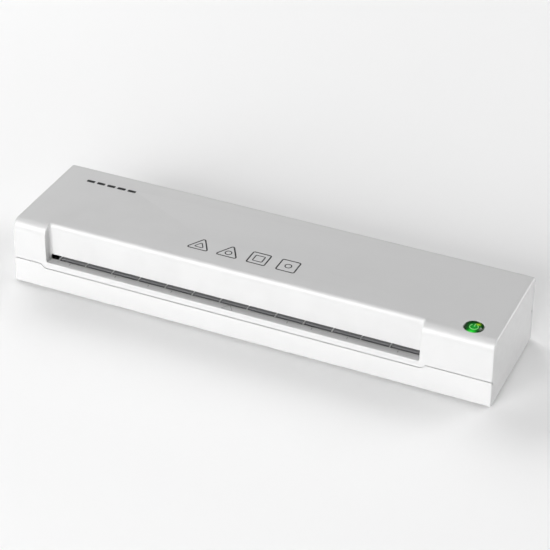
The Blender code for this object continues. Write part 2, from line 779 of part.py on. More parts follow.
def make_spring(name, center, low, high):
    turns = 4
    steps = 10
    path = []
    for i in range(turns * steps + 1):
        angle = 2 * math.pi * i / steps
        rise = low + 0.5 + (high - low - 1.0) * i / (turns * steps)
        path.append((center[0] + 2.4 * math.cos(angle), center[1] + 2.4 * math.sin(angle), rise))
    tube(name, path, 0.45, SPRING, 5)


def rounded_path(corners, steps=3):
    """Catmull-Rom curve through the given corners."""
    points = [Vector(corner) for corner in corners]
    points = [points[0]] + points + [points[-1]]
    path = []
    for i in range(1, len(points) - 2):
        a, b, c, d = points[i - 1:i + 3]
        for k in range(steps):
            t = k / steps
            path.append(0.5 * (2 * b + (c - a) * t + (2 * a - 5 * b + 4 * c - d) * t * t
                               + (3 * b - a - 3 * c + d) * t ** 3))
    path.append(points[-2])
    return path


# ---------------------------------------------------------------- drive


def make_drive():
    center = pinion_center()
    pinion = gear("motor_pinion", center, PINION_TEETH, 8.1818 + 180.0 / PINION_TEETH,
                  GEAR_X0, GEAR_X1, 0.0)
    join(pinion, cylinder("pinion_shaft", "X", center, 2.5, GEAR_X0 - 1.0, 174.0, tool=True,
                          segments=20))
    set_origin(pinion, (0.0, center[0], center[1]))
    hub = (MOTOR_Y, MOTOR_Z)
    box_case = cylinder("gearbox", "X", hub, MOTOR_R, 171.6, 179.0, STEEL, segments=28)
    cut(box_case, cylinder("gearbox_bore", "X", center, 2.8, 165.0, 175.0, tool=True,
                           segments=20))
    smooth(box_case)
    motor = lathe_x("drive_motor", hub, [
        (179.3, MOTOR_R - 1.0), (180.3, MOTOR_R), (192.5, MOTOR_R), (193.5, MOTOR_R - 1.0),
        (193.5, 9.0), (195.6, 9.0),
    ], ALUMINIUM, 28)
    smooth(motor)
    mount = box("motor_mount", (170.0, -29.0, 5.5), (171.2, 12.0, 56.0), STEEL)
    for i, spot in enumerate(((-24.0, 14.0), (-24.0, 51.0), (3.0, 52.0))):
        join(mount, cylinder("mount_leg_%d" % i, "X", spot, 3.0, FRAME_R + SHEET + GAP, 170.6,
                             tool=True, segments=16))
    cut(mount, cylinder("mount_hole", "X", center, 8.6, 166.0, 175.0, tool=True, segments=28))


def make_wires():
    tube("wire_mains", rounded_path([
        (186.0, 36.5, 16.0), (188.0, 30.0, 16.5), (197.0, 22.0, 20.0), (199.0, 8.0, 24.0),
        (199.0, -18.0, 30.0), (198.6, -34.0, 30.0), (198.0, -43.0, 33.0), (198.0, -43.0, 36.3),
    ]), 1.5, BLACK)
    tube("wire_motor", rounded_path([
        (196.8, -4.5, 38.0), (199.3, -8.0, 39.0), (199.3, -20.0, 40.0), (200.0, -32.0, 36.5),
        (202.8, -43.0, 33.0), (202.8, -43.0, 36.3),
    ]), 1.0, WIRE)
    tube("wire_heater", rounded_path([
        (194.0, -43.0, 36.3), (194.0, -43.0, 33.5), (190.0, -37.3, 31.0), (176.0, -37.3, 35.0),
        (160.0, -37.3, 41.0),
        (140.0, -33.0, 45.0), (80.0, -24.0, 46.5), (0.0, -16.0, 47.0), (-30.0, -14.0, 46.5),
        (-39.0, -14.0, 46.0),
    ]), 1.2, WIRE)


make_top_cover()
make_base_tray()
make_feet_and_screws()
make_rear_cover()
make_mains_inlet()
make_button()
make_board()
make_guides()
make_frames()
make_heaters()
make_rollers()
make_bushes()
make_drive()
make_wires()
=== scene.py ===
"""Pouch laminator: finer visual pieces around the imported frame, in metres.

Lengths below are in millimetres and are scaled by MM when a mesh is made.
"""
import math

import bmesh
import bpy
from mathutils import Matrix, Vector


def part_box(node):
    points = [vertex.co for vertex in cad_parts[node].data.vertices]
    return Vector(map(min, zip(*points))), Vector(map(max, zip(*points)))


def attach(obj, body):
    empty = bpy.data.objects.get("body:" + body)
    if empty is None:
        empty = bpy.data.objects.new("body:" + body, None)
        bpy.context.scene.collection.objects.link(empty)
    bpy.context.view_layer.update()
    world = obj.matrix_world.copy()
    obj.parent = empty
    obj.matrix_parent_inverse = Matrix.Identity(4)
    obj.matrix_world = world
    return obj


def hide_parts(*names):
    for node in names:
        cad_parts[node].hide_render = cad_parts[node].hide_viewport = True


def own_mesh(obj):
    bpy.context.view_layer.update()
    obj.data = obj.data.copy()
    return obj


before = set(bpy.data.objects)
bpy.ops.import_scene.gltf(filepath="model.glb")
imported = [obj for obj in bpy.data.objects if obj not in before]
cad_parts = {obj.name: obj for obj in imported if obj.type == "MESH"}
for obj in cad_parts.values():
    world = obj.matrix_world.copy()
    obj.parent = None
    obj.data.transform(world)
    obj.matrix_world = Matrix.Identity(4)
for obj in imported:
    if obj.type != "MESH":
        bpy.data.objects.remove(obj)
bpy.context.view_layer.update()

MM = 0.001


def mm_box(node):
    """Lowest and highest corner of a CAD node, in millimetres."""
    low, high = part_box(node)
    return [v / MM for v in low], [v / MM for v in high]


COVER_LO, COVER_HI = mm_box("top_cover")
REAR_LO, REAR_HI = mm_box("rear_cover")

HALF = REAR_HI[0]
FRONT = COVER_LO[1]
BACK = REAR_HI[1]
BOTTOM = mm_box("base_tray")[0][2]
TOP = COVER_HI[2]
REAR_TOP_Y = COVER_HI[1]
REAR_SIDE_Y = REAR_LO[1] - 0.3
WIDE = 2 * HALF
WALL = 2.2
DRAFT = 0.02
FRONT_ROUND = 9.2
TOP_DEPTH = 3.4
GAP = 0.3
SEAM_GAP = 0.7
PILOT_R = 1.8

FLOOR_TOP = BOTTOM + WALL
REAR_CORNER = 1.2
FOOT_ROUND = 2.0

# Entry recess and parting line, as the CAD cover has them
RECESS_X0 = -183.0
RECESS_X1 = 153.6
RECESS_Y = FRONT + 8.1
RECESS_ROUND_Y = 4.4
RECESS_ROUND_Z = 6.0
SLOT_LOW = 28.1
SLOT_HIGH = 32.6
LEDGE = 2.0
LEDGE_Y = FRONT + 7.8
SEAM_END = 25.6
SEAM_MID = 22.1
SEAM_JOG = 5.4
FASCIA = 2.4

# ---- camera

AZIMUTH = math.radians(23.383)
ELEVATION = math.radians(33.346)
ROLL = math.radians(0.976)
DISTANCE = 1.58808
TARGET = Vector((0.00255, 0.00715, 0.0315))
LENS = 123.83
SENSOR_WIDTH = 36.0


def new_object(name, data):
    obj = bpy.data.objects.new(name, data)
    bpy.context.scene.collection.objects.link(obj)
    return obj


def make_camera():
    back = Vector((math.sin(AZIMUTH) * math.cos(ELEVATION),
                   -math.cos(AZIMUTH) * math.cos(ELEVATION), math.sin(ELEVATION)))
    right = Vector((math.cos(AZIMUTH), math.sin(AZIMUTH), 0.0))
    up = back.cross(right)
    across = right * math.cos(ROLL) + up * math.sin(ROLL)
    upward = up * math.cos(ROLL) - right * math.sin(ROLL)
    data = bpy.data.cameras.new("camera")
    data.lens = LENS
    data.sensor_width = SENSOR_WIDTH
    camera = new_object("camera", data)
    turn = Matrix((across, upward, back)).transposed().to_4x4()
    camera.matrix_world = Matrix.Translation(TARGET + back * DISTANCE) @ turn
    bpy.context.scene.camera = camera


make_camera()

# ---- materials

# Part of a noise's 0..1 range that it really fills, and of Pointiness where edges lie
MID_RANGE = (0.3, 0.7)
EDGE_RANGE = (0.5, 0.56)
# Noise scales of the faint cloudiness and of the rubbed patches
CLOUD_SCALE = 38.0
RUB_SCALE = 140.0


class Nodes:
    """Small helper around a material's node tree."""

    def __init__(self, name):
        self.mat = bpy.data.materials.new(name)
        self.mat.use_nodes = True
        self.tree = self.mat.node_tree
        self.shader = self.tree.nodes["Principled BSDF"]
        self.coords = self.add("ShaderNodeTexCoord").outputs["Object"]

    def add(self, kind, **settings):
        node = self.tree.nodes.new(kind)
        for key, value in settings.items():
            setattr(node, key, value)
        return node

    def link(self, out, into):
        self.tree.links.new(out, into)

    def fill(self, node, **values):
        """Set inputs of a node; an underscore in a name stands for a space."""
        for name, value in values.items():
            node.inputs[name.replace("_", " ")].default_value = value

    def noise(self, scale, detail=2.0, stretch=None):
        node = self.add("ShaderNodeTexNoise")
        self.fill(node, Scale=scale, Detail=detail)
        source = self.coords
        if stretch:
            mapping = self.add("ShaderNodeMapping")
            self.fill(mapping, Scale=stretch)
            self.link(source, mapping.inputs["Vector"])
            source = mapping.outputs["Vector"]
        self.link(source, node.inputs["Vector"])
        return node.outputs["Fac"]

    def ramp(self, source, low, high, at=(0.0, 1.0)):
        """Map a 0..1 value to a range of numbers between two positions."""
        node = self.add("ShaderNodeMapRange")
        self.fill(node, From_Min=at[0], From_Max=at[1], To_Min=low, To_Max=high)
        self.link(source, node.inputs["Value"])
        return node.outputs["Result"]

    def mix(self, factor, low, high):
        node = self.add("ShaderNodeMix", data_type="RGBA")
        self.link(factor, node.inputs["Factor"])
        for socket, value in ((node.inputs["A"], low), (node.inputs["B"], high)):
            if hasattr(value, "is_linked"):
                self.link(value, socket)
            else:
                socket.default_value = (*value, 1.0)
        return node.outputs["Result"]

    def bump(self, height, strength, distance):
        node = self.add("ShaderNodeBump")
        self.fill(node, Strength=strength, Distance=distance)
        self.link(height, node.inputs["Height"])
        self.link(node.outputs["Normal"], self.shader.inputs["Normal"])

    def edges(self):
        """Where the surface turns outwards: used for edge wear."""
        geometry = self.add("ShaderNodeNewGeometry")
        return self.ramp(geometry.outputs["Pointiness"], 0.0, 1.0, EDGE_RANGE)


def scaled(color, factor):
    return tuple(min(1.0, c * factor) for c in color)


def plastic(name, color, rough, grain=4200.0, depth=0.00002, edge=1.04, spread=0.04):
    """Moulded plastic: fine spark-eroded grain, faint cloudiness, rubbed edges."""
    n = Nodes(name)
    cloud = n.noise(CLOUD_SCALE, 3.0)
    low = scaled(color, 1.0 - 0.5 * spread)
    high = scaled(color, 1.0 + 0.5 * spread)
    tone = n.mix(n.ramp(cloud, 0.0, 1.0, MID_RANGE), low, high)
    worn = n.mix(n.edges(), tone, scaled(color, edge))
    n.link(worn, n.shader.inputs["Base Color"])
    fine = n.noise(grain, 2.0)
    rub = n.noise(RUB_SCALE, 4.0)
    n.link(n.ramp(rub, rough - 0.05, rough + 0.05, MID_RANGE), n.shader.inputs["Roughness"])
    n.bump(fine, 0.25, depth)
    return n.mat


def metal(name, color, rough):
    """Drawn or rolled metal with fine lines along X."""
    n = Nodes(name)
    lines = n.noise(60.0, 4.0, (1.0, 60.0, 60.0))
    tone = n.mix(n.ramp(lines, 0.0, 1.0, MID_RANGE), scaled(color, 0.9), scaled(color, 1.06))
    n.link(n.mix(n.edges(), tone, scaled(color, 1.15)), n.shader.inputs["Base Color"])
    n.link(n.ramp(lines, rough - 0.08, rough + 0.1, MID_RANGE), n.shader.inputs["Roughness"])
    n.bump(lines, 0.15, 0.00002)
    n.fill(n.shader, Metallic=1.0)
    return n.mat


def glow(n, center, radius):
    """A value that falls from 1 at a point, given in millimetres, to 0 at a radius."""
    node = n.add("ShaderNodeVectorMath", operation="DISTANCE")
    n.link(n.coords, node.inputs[0])
    node.inputs[1].default_value = tuple(c * MM for c in center)
    return n.ramp(node.outputs["Value"], 1.0, 0.0, (0.0, radius * MM))


def glowing_lens(name, dark, body, bright, spots, power, rough):
    """Tinted glossy lens that glows green: spots are (centre, radius, colour) laid over the glow
    as painted highlights and painted shade.
    """
    n = Nodes(name)
    cloud = n.noise(300.0, 3.0)
    n.link(n.mix(n.ramp(cloud, 0.0, 1.0, MID_RANGE), dark, scaled(dark, 1.6)),
           n.shader.inputs["Base Color"])
    tone = n.mix(glow(n, *body), scaled(dark, 0.4), bright)
    # each spot paints a highlight or a shade into the emission
    for center, radius, color in spots:
        tone = n.mix(glow(n, center, radius), tone, color)
    n.link(tone, n.shader.inputs["Emission Color"])
    n.link(n.ramp(cloud, rough - 0.03, rough + 0.05, MID_RANGE), n.shader.inputs["Roughness"])
    n.fill(n.shader, Emission_Strength=power, Coat_Weight=0.15, Coat_Roughness=0.1)
    return n.mat


def circuit(name, mask, track):
    """Solder mask over etched tracks."""
    n = Nodes(name)
    bricks = n.add("ShaderNodeTexBrick")
    n.fill(bricks, Scale=160.0, Mortar_Size=0.06, Color1=(*mask, 1.0),
           Color2=(*scaled(mask, 0.85), 1.0), Mortar=(*track, 1.0))
    n.link(n.coords, bricks.inputs["Vector"])
    n.link(bricks.outputs["Color"], n.shader.inputs["Base Color"])
    n.link(n.ramp(n.noise(500.0, 3.0), 0.28, 0.42), n.shader.inputs["Roughness"])
    n.bump(bricks.outputs["Fac"], 0.3, 0.00003)
    return n.mat


def spangled(name, color, rough):
    """Galvanised sheet: a patchwork of crystals."""
    n = Nodes(name)
    cells = n.add("ShaderNodeTexVoronoi")
    n.fill(cells, Scale=260.0)
    n.link(n.coords, cells.inputs["Vector"])
    split = n.add("ShaderNodeSeparateColor")
    n.link(cells.outputs["Color"], split.inputs["Color"])
    n.link(n.mix(split.outputs["Red"], scaled(color, 0.82), scaled(color, 1.1)),
           n.shader.inputs["Base Color"])
    gloss = n.ramp(split.outputs["Green"], rough - 0.08, rough + 0.12)
    n.link(gloss, n.shader.inputs["Roughness"])
    n.bump(n.noise(900.0, 3.0), 0.15, 0.00002)
    n.fill(n.shader, Metallic=1.0)
    return n.mat


def rubber(name, color, rough=0.8):
    n = Nodes(name)
    grain = n.noise(1500.0, 4.0)
    tone = n.mix(n.ramp(grain, 0.0, 1.0, (0.35, 0.65)), scaled(color, 0.8), scaled(color, 1.3))
    n.link(tone, n.shader.inputs["Base Color"])
    n.link(n.ramp(grain, rough - 0.08, rough + 0.08), n.shader.inputs["Roughness"])
    n.bump(grain, 0.4, 0.00004)
    return n.mat


COVER_WHITE = plastic("cover_white", (0.575, 0.575, 0.575), 0.36)
BASE_WHITE = plastic("base_white", (0.585, 0.585, 0.585), 0.36)
REAR_WHITE = plastic("rear_white", (0.57, 0.57, 0.575), 0.46, grain=2600.0, depth=0.00004)
# GUIDE_DARK is the guides' dark grey; on the entry plate it also paints in the shade inside the
# slot. The ribs of that plate get a lighter grey as a painted highlight for the light they catch.
RIB_PAINTED_HIGHLIGHT = plastic("guide_grey", (0.62, 0.62, 0.62), 0.42, grain=3000.0)
GUIDE_DARK = plastic("guide_dark", (0.2, 0.2, 0.205), 0.5, grain=3000.0)
BLACK = plastic("black_plastic", (0.012, 0.012, 0.013), 0.25, grain=5000.0, edge=1.8, spread=0.2)
INLET_BLACK = plastic("inlet_black", (0.02, 0.02, 0.021), 0.42, grain=2500.0, edge=1.8, spread=0.2)
INSULATOR = plastic("insulator", (0.6, 0.55, 0.45), 0.6, grain=1800.0)
BOARD = circuit("board_green", (0.012, 0.12, 0.04), (0.03, 0.24, 0.08))
BUSH = plastic("bush_plastic", (0.07, 0.06, 0.055), 0.45)
ACETAL = plastic("gear_acetal", (0.72, 0.7, 0.62), 0.42)
MICA = plastic("mica_sheet", (0.42, 0.32, 0.2), 0.5, grain=400.0, spread=0.4)
TICK_GREY = plastic("tick_grey", (0.3, 0.3, 0.3), 0.4, grain=6000.0)
WIRE_RED = plastic("wire_red", (0.45, 0.03, 0.02), 0.45)
INK = plastic("printing_ink", (0.03, 0.03, 0.032), 0.4, grain=6000.0, spread=0.3)
WIRE_DARK = plastic("wire_dark", (0.03, 0.03, 0.034), 0.45)
NYLON = plastic("ivory_nylon", (0.66, 0.62, 0.5), 0.45, grain=2000.0)
CAN_FILM = plastic("capacitor_film", (0.03, 0.035, 0.07), 0.3, grain=4000.0, spread=0.3)
FOOT = rubber("foot_rubber", (0.03, 0.03, 0.032))
SILICONE = rubber("silicone_red", (0.38, 0.05, 0.03), 0.55)
STEEL = metal("zinc_steel", (0.6, 0.61, 0.63), 0.33)
ALUMINIUM = metal("aluminium", (0.75, 0.76, 0.78), 0.28)
SHEET_STEEL = spangled("galvanised_sheet", (0.58, 0.59, 0.61), 0.36)

# ---- mesh helpers


def arc(center, radii, start, end, steps):
    points = []
    for i in range(steps + 1):
        angle = math.radians(start + (end - start) * i / steps)
        points.append((center[0] + radii[0] * math.cos(angle),
                       center[1] + radii[1] * math.sin(angle)))
    return points


def half_at(z):
    return HALF - DRAFT * (z - BOTTOM)


class Skin:
    """Builds a mesh from points in millimetres, sharing equal vertices."""

    def __init__(self):
        self.bm = bmesh.new()
        self.seen = {}

    def vert(self, co):
        key = tuple(round(c, 4) for c in co)
        if key not in self.seen:
            self.seen[key] = self.bm.verts.new(Vector(key) * MM)
        return self.seen[key]

    def face(self, points):
        verts = []
        for point in points:
            vert = self.vert(point)
            if vert not in verts:
                verts.append(vert)
        if len(verts) > 2 and not self.bm.faces.get(verts):
            self.bm.faces.new(verts)

    def grid(self, rows):
        for low, high in zip(rows, rows[1:]):
            for i in range(len(low) - 1):
                self.face((low[i], low[i + 1], high[i + 1], high[i]))

    def tube(self, low, high):
        """Faces between two closed loops."""
        for i in range(len(low)):
            j = (i + 1) % len(low)
            self.face((low[i], low[j], high[j], high[i]))

    def object(self, name):
        bmesh.ops.recalc_face_normals(self.bm, faces=self.bm.faces)
        mesh = bpy.data.meshes.new(name)
        self.bm.to_mesh(mesh)
        self.bm.free()
        return new_object(name, mesh)


def placed(outline, axis, reach):
    """Loop of points at one place along an axis; an outline gives the two other axes in order."""
    return [{"X": (reach, a, b), "Y": (a, reach, b), "Z": (a, b, reach)}[axis]
            for a, b in outline]


def prism(name, outline, axis, start, end):
    """Extrude a closed outline along an axis."""
    skin = Skin()
    low = placed(outline, axis, start)
    high = placed(outline, axis, end)
    skin.face(low)
    skin.face(list(reversed(high)))
    skin.tube(low, high)
    return skin.object(name)


def box(name, lo, hi):
    corners = [(lo[0], lo[1]), (hi[0], lo[1]), (hi[0], hi[1]), (lo[0], hi[1])]
    return prism(name, corners, "Z", lo[2], hi[2])


def circle(center, radius, steps):
    return arc(center, (radius, radius), 0.0, 360.0 * (steps - 1) / steps, steps - 1)


def round_bar(name, center, radius, start, end, axis="Z", steps=64):
    return prism(name, circle(center, radius, steps), axis, start, end)


def carve(obj, tools, operation="DIFFERENCE"):
    """Apply Booleans one after another and drop the tools."""
    for tool in tools:
        mod = obj.modifiers.new("cut", "BOOLEAN")
        mod.operation = operation
        mod.solver = "EXACT"
        mod.object = tool
    bpy.context.view_layer.update()
    graph = bpy.context.evaluated_depsgraph_get()
    mesh = bpy.data.meshes.new_from_object(obj.evaluated_get(graph))
    obj.modifiers.clear()
    old = obj.data
    obj.data = mesh
    bpy.data.meshes.remove(old)
    for tool in tools:
        data = tool.data
        bpy.data.objects.remove(tool)
        bpy.data.meshes.remove(data)
    return obj


BEVEL_ANGLE = math.radians(40.0)


def finish_shape(obj, material, body="root", angle=28.0, rounding=0.0):
    """Optional edge rounding, smooth shading with flat faces kept flat."""
    obj.data.materials.clear()
    obj.data.materials.append(material)
    if rounding:
        mod = obj.modifiers.new("round", "BEVEL")
        mod.width = rounding * MM
        mod.segments = 3
        mod.limit_method = "ANGLE"
        mod.angle_limit = BEVEL_ANGLE
        mod.use_clamp_overlap = True
    obj.data.shade_smooth()
    obj.data.set_sharp_from_angle(angle=math.radians(angle))
    mod = obj.modifiers.new("weighted", "WEIGHTED_NORMAL")
    mod.keep_sharp = True
    mod.weight = 80
    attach(obj, body)


def loft(name, stacks):
    """Solids through stacks of equal loops; a stack that ends on its first loop is a ring."""
    skin = Skin()
    for loops in stacks:
        if loops[0] != loops[-1]:
            skin.face(loops[0])
            skin.face(loops[-1])
        for low, high in zip(loops, loops[1:]):
            skin.tube(low, high)
    return skin.object(name)


def lathe(name, center, profile, steps, closed=False, axis="Z"):
    """Turned solid about an upright axis, or about one along X.

    The profile lists (radius, place along the axis).
    """
    loops = [placed(circle(center, radius, steps), axis, reach) for radius, reach in profile]
    return loft(name, [loops + loops[:1] if closed else loops])


def rectangle(center, half):
    x, y = center
    dx, dy = half
    return [(x - dx, y - dy), (x + dx, y - dy), (x + dx, y + dy), (x - dx, y + dy)]


def rounded_outline(corners, inset, radius, steps=6):
    """Counter-clockwise convex outline, moved inwards by inset, its corners rounded."""
    points = []
    for i, corner in enumerate(corners):
        here = Vector(corner)
        before = (here - Vector(corners[i - 1])).normalized()
        after = (Vector(corners[(i + 1) % len(corners)]) - here).normalized()
        out_before = Vector((before.y, -before.x))
        out_after = Vector((after.y, -after.x))
        reach = (inset + radius) / (1.0 + out_before.dot(out_after))
        center = here - (out_before + out_after) * reach
        start = math.degrees(math.atan2(out_before.y, out_before.x))
        end = math.degrees(math.atan2(out_after.y, out_after.x))
        if end < start:
            end += 360.0
        points += arc(center, (radius, radius), start, end, steps)
    return points


def quarter(steps):
    """Angles from nothing to a right angle."""
    return [math.pi / 2 * i / steps for i in range(steps + 1)]


def rim_row(point, normal, sign):
    """Quarter-round from the end face to the swept surface, at one point of a side profile."""
    row = []
    for angle in quarter(RIM_STEPS):
        inset = RIM_R * (1.0 - math.sin(angle))
        y, z = point[0] - normal[0] * inset, point[1] - normal[1] * inset
        row.append((sign * half_at(z) - sign * RIM_R * (1.0 - math.cos(angle)), y, z))
    return row


def rounded_ends(skin, profile, normals):
    """Rounds both ends of a side profile swept along X; returns the left and right strips."""
    ends = []
    for sign in (-1.0, 1.0):
        ends.append([rim_row(point, normal, sign) for point, normal in zip(profile, normals)])
        skin.grid(ends[-1])
    return ends


# ---- top cover

ARC_STEPS = 22
RIM_R = 1.1
RIM_STEPS = 5
EDGE_R = 0.8
EDGE_STEPS = 5
FILLET_R = 2.4
FILLET_STEPS = 7
CORNER_R = 1.7
CORNER_STEPS = 6
LOW_FILLET = 1.3
POCKET_HIGH = SLOT_HIGH + 0.6


def cover_levels():
    """Heights at which the cover's front is sliced, from the round's foot to the top."""
    levels = [TOP - FRONT_ROUND + FRONT_ROUND * math.sin(a) for a in quarter(ARC_STEPS)]
    levels.append(TOP - RECESS_ROUND_Z)
    return sorted(levels)


def front_at(z):
    rise = max(0.0, z - (TOP - FRONT_ROUND))
    return FRONT + FRONT_ROUND - math.sqrt(max(0.0, FRONT_ROUND ** 2 - rise ** 2))


def recess_at(z):
    rise = max(0.0, z - (TOP - RECESS_ROUND_Z)) / RECESS_ROUND_Z
    return RECESS_Y + RECESS_ROUND_Y * (1.0 - math.sqrt(max(0.0, 1.0 - rise ** 2)))


def pocket_profile(z, fillet):
    """Section of the recess's side: (outward offset, y) from the front to the back wall."""
    front = front_at(z)
    wall = recess_at(z)
    rows = [(EDGE_R * (1.0 - math.sin(a)), front + EDGE_R * (1.0 - math.cos(a)))
            for a in quarter(EDGE_STEPS)]
    rows += [(-fillet * (1.0 - math.cos(a)), wall - fillet * (1.0 - math.sin(a)))
             for a in quarter(FILLET_STEPS)]
    return rows


def pocket_rows():
    """Rows of points round the recess: down the left, along the ledge, up the right."""
    levels = cover_levels()
    floor = SLOT_LOW + CORNER_R
    lower = [floor + (POCKET_HIGH - floor) * i / 3 for i in range(4)]
    rows = []
    for edge, sign in ((RECESS_X0, -1.0), (RECESS_X1, 1.0)):
        part = []
        for z in reversed(lower + levels):
            share = min(1.0, (z - floor) / (POCKET_HIGH - floor))
            fillet = LOW_FILLET + (FILLET_R - LOW_FILLET) * share
            part.append([(edge + sign * d, y, z) for d, y in pocket_profile(z, fillet)])
        center = (edge - sign * CORNER_R, floor)
        for i in range(1, CORNER_STEPS + 1):
            angle = math.pi / 2 * i / CORNER_STEPS
            fillet = LOW_FILLET - 1.1 * i / CORNER_STEPS
            row = []
            for d, y in pocket_profile(floor, fillet):
                reach = CORNER_R + d
                row.append((center[0] + sign * reach * math.cos(angle), y,
                            center[1] - reach * math.sin(angle)))
            part.append(row)
        rows.append(part)
    return rows[0] + list(reversed(rows[1]))


def make_top_cover():
    skin = Skin()
    levels = cover_levels()
    # side profile from the bottom front, over the round, to the back of the top
    profile = [(FRONT, BOTTOM), (FRONT, SLOT_LOW)]
    profile += [(front_at(z), z) for z in levels]
    profile += [(REAR_TOP_Y, TOP)]
    normals = [(-1.0, 0.0), (-1.0, 0.0)]
    for z in levels:
        rise = (z - levels[0]) / FRONT_ROUND
        normals.append((-math.sqrt(max(0.0, 1.0 - rise ** 2)), rise))
    normals.append((0.0, 1.0))
    ends = rounded_ends(skin, profile, normals)
    for sign, strip in zip((-1.0, 1.0), ends):
        side = [row[0] for row in strip]
        skin.face(side + [(sign * half_at(BOTTOM), REAR_TOP_Y, BOTTOM)])
    left, right = ends
    pocket = pocket_rows()
    skin.grid(pocket)
    count = len(levels)
    # rounded front edge beside the recess
    left_edge = [row[0] for row in pocket[:count]]
    right_edge = [row[0] for row in reversed(pocket[-count:])]
    for strip, edge in ((left, left_edge), (right, right_edge)):
        outer = [row[-1] for row in reversed(strip[2:2 + count])]
        for i in range(count - 1):
            skin.face((outer[i], edge[i], edge[i + 1], outer[i + 1]))
    # flat front, below the round
    rim = [row[0] for row in pocket[count - 1:len(pocket) - count + 1]]
    skin.face([row[-1] for row in left[0:3]] + rim + [row[-1] for row in reversed(right[0:3])])
    # back wall of the recess and its rounded top
    last_left = [row[-1] for row in pocket[:count]]
    last_right = [row[-1] for row in reversed(pocket[-count:])]
    flat = sum(1 for z in levels if z > TOP - RECESS_ROUND_Z + 1e-6)
    for i in range(flat):
        skin.face((last_left[i], last_left[i + 1], last_right[i + 1], last_right[i]))
    skin.face([row[-1] for row in pocket[flat:len(pocket) - flat]])
    # top, back and underside
    top = [left[-2][-1]] + pocket[0] + list(reversed(pocket[-1])) + [right[-2][-1], right[-1][-1]]
    skin.face(top + [left[-1][-1]])
    rear = [(-half_at(BOTTOM), REAR_TOP_Y, BOTTOM)] + left[-1] + list(reversed(right[-1]))
    skin.face(rear + [(half_at(BOTTOM), REAR_TOP_Y, BOTTOM)])
    under = left[0] + list(reversed(right[0]))
    half = half_at(BOTTOM)
    skin.face(under + [(half, REAR_TOP_Y, BOTTOM), (-half, REAR_TOP_Y, BOTTOM)])
    return skin.object("top_cover_shell")


def case_hollow(name, back):
    """Inner volume of the case, with the recess's wall left standing in it."""
    radius = FRONT_ROUND - WALL
    points = [(FRONT + WALL, BOTTOM - 6.0)]
    points += arc((FRONT + FRONT_ROUND, TOP - FRONT_ROUND), (radius, radius), 180, 90, 10)
    points += [(back, TOP - WALL), (back, BOTTOM - 6.0)]
    rows = [[(sign * (half_at(z) - WALL), y, z) for y, z in points] for sign in (-1.0, 1.0)]
    hollow = loft(name, [rows])
    x0 = RECESS_X0 - WALL
    x1 = RECESS_X1 + WALL
    levels = [SLOT_LOW - LEDGE, TOP - RECESS_ROUND_Z - WALL]
    levels += [TOP - RECESS_ROUND_Z - WALL + RECESS_ROUND_Z * math.sin(math.radians(a))
               for a in (20, 40, 60, 80)]
    levels += [TOP + 4.0]
    rows = []
    for z in levels:
        y = recess_at(z + WALL) + WALL if z < TOP else RECESS_Y + RECESS_ROUND_Y + WALL
        rows.append([(x0, FRONT - 9.0, z), (x1, FRONT - 9.0, z), (x1, y, z), (x0, y, z)])
    return carve(hollow, [loft(name + "_wall", [rows])])


def seam_points(shift):
    """Parting line across the front; its steps beside the slot ease out at their lower ends."""
    drop = SEAM_END - SEAM_MID
    shares = [i / 8 for i in range(9)]
    points = [(-WIDE, SEAM_END + shift)]
    points += [(RECESS_X0 - SEAM_JOG * (1.0 - t), SEAM_END - drop * t * (2.0 - t) + shift)
               for t in shares]
    points += [(RECESS_X1 + SEAM_JOG * t, SEAM_MID + drop * t * t + shift) for t in shares]
    return points + [(WIDE, SEAM_END + shift)]


# ---- places from the frame


def middle_of(node, a=0, b=1):
    """Middle of a CAD node along two axes, in plan unless told otherwise, in millimetres."""
    lo, hi = mm_box(node)
    return ((lo[a] + hi[a]) / 2, (lo[b] + hi[b]) / 2)


CORNERS = ["%s_%s" % (end, side) for end in ("front", "rear") for side in ("left", "right")]
SCREW_NODES = ["case_screw_" + corner for corner in CORNERS]
FOOT_NODES = ["foot_" + corner for corner in CORNERS]
SCREW_SPOTS = [middle_of(node) for node in SCREW_NODES]
BUTTON = middle_of("power_button")
BEZEL_LO, BEZEL_HI = mm_box("button_bezel")
HOLE_R = (BEZEL_HI[0] - BEZEL_LO[0]) / 2 - 0.9

# ---- top cover, finished

HOLE_EASE = 0.5
BOSS_R = 4.0
BELOW = -30.0
GROOVE_GAP = 0.05


def build_top_cover():
    cover = make_top_cover()
    low = [(-WIDE, BELOW)] + seam_points(SEAM_GAP / 2) + [(WIDE, BELOW)]
    hole = [(HOLE_R, TOP - 7.0), (HOLE_R, TOP - HOLE_EASE), (HOLE_R + HOLE_EASE, TOP),
            (HOLE_R + HOLE_EASE, TOP + 5.0)]
    carve(cover, [
        case_hollow("hollow", BACK + 8.0),
        prism("front_cut", low, "Y", FRONT - 6.0, FRONT + FASCIA + GAP),
        box("slot_cut", (RECESS_X0 - 1.0, LEDGE_Y, SLOT_LOW - LEDGE - 3.0),
            (RECESS_X1 + 1.0, RECESS_Y + 7.0, SLOT_HIGH)),
        box("rear_cut", (-WIDE, REAR_SIDE_Y, BELOW), (WIDE, BACK + 20.0, TOP - TOP_DEPTH)),
    ])
    bosses = [round_bar("boss", spot, BOSS_R, WELL_HIGH + 0.4, TOP - 1.0, steps=32)
              for spot in SCREW_SPOTS]
    carve(cover, bosses, "UNION")
    bores = [round_bar("bore", spot, PILOT_R, 5.0, 26.0, steps=24) for spot in SCREW_SPOTS]
    grooves = printed_marks("mark_grooves", GROOVE_GAP, TOP - MARK_DEPTH - GROOVE_GAP, TOP + 1.0)
    carve(cover, bores + [lathe("button_cut", BUTTON, hole, 96), grooves])
    finish_shape(cover, COVER_WHITE, angle=24.0)
    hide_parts("top_cover")


# ---- lower case

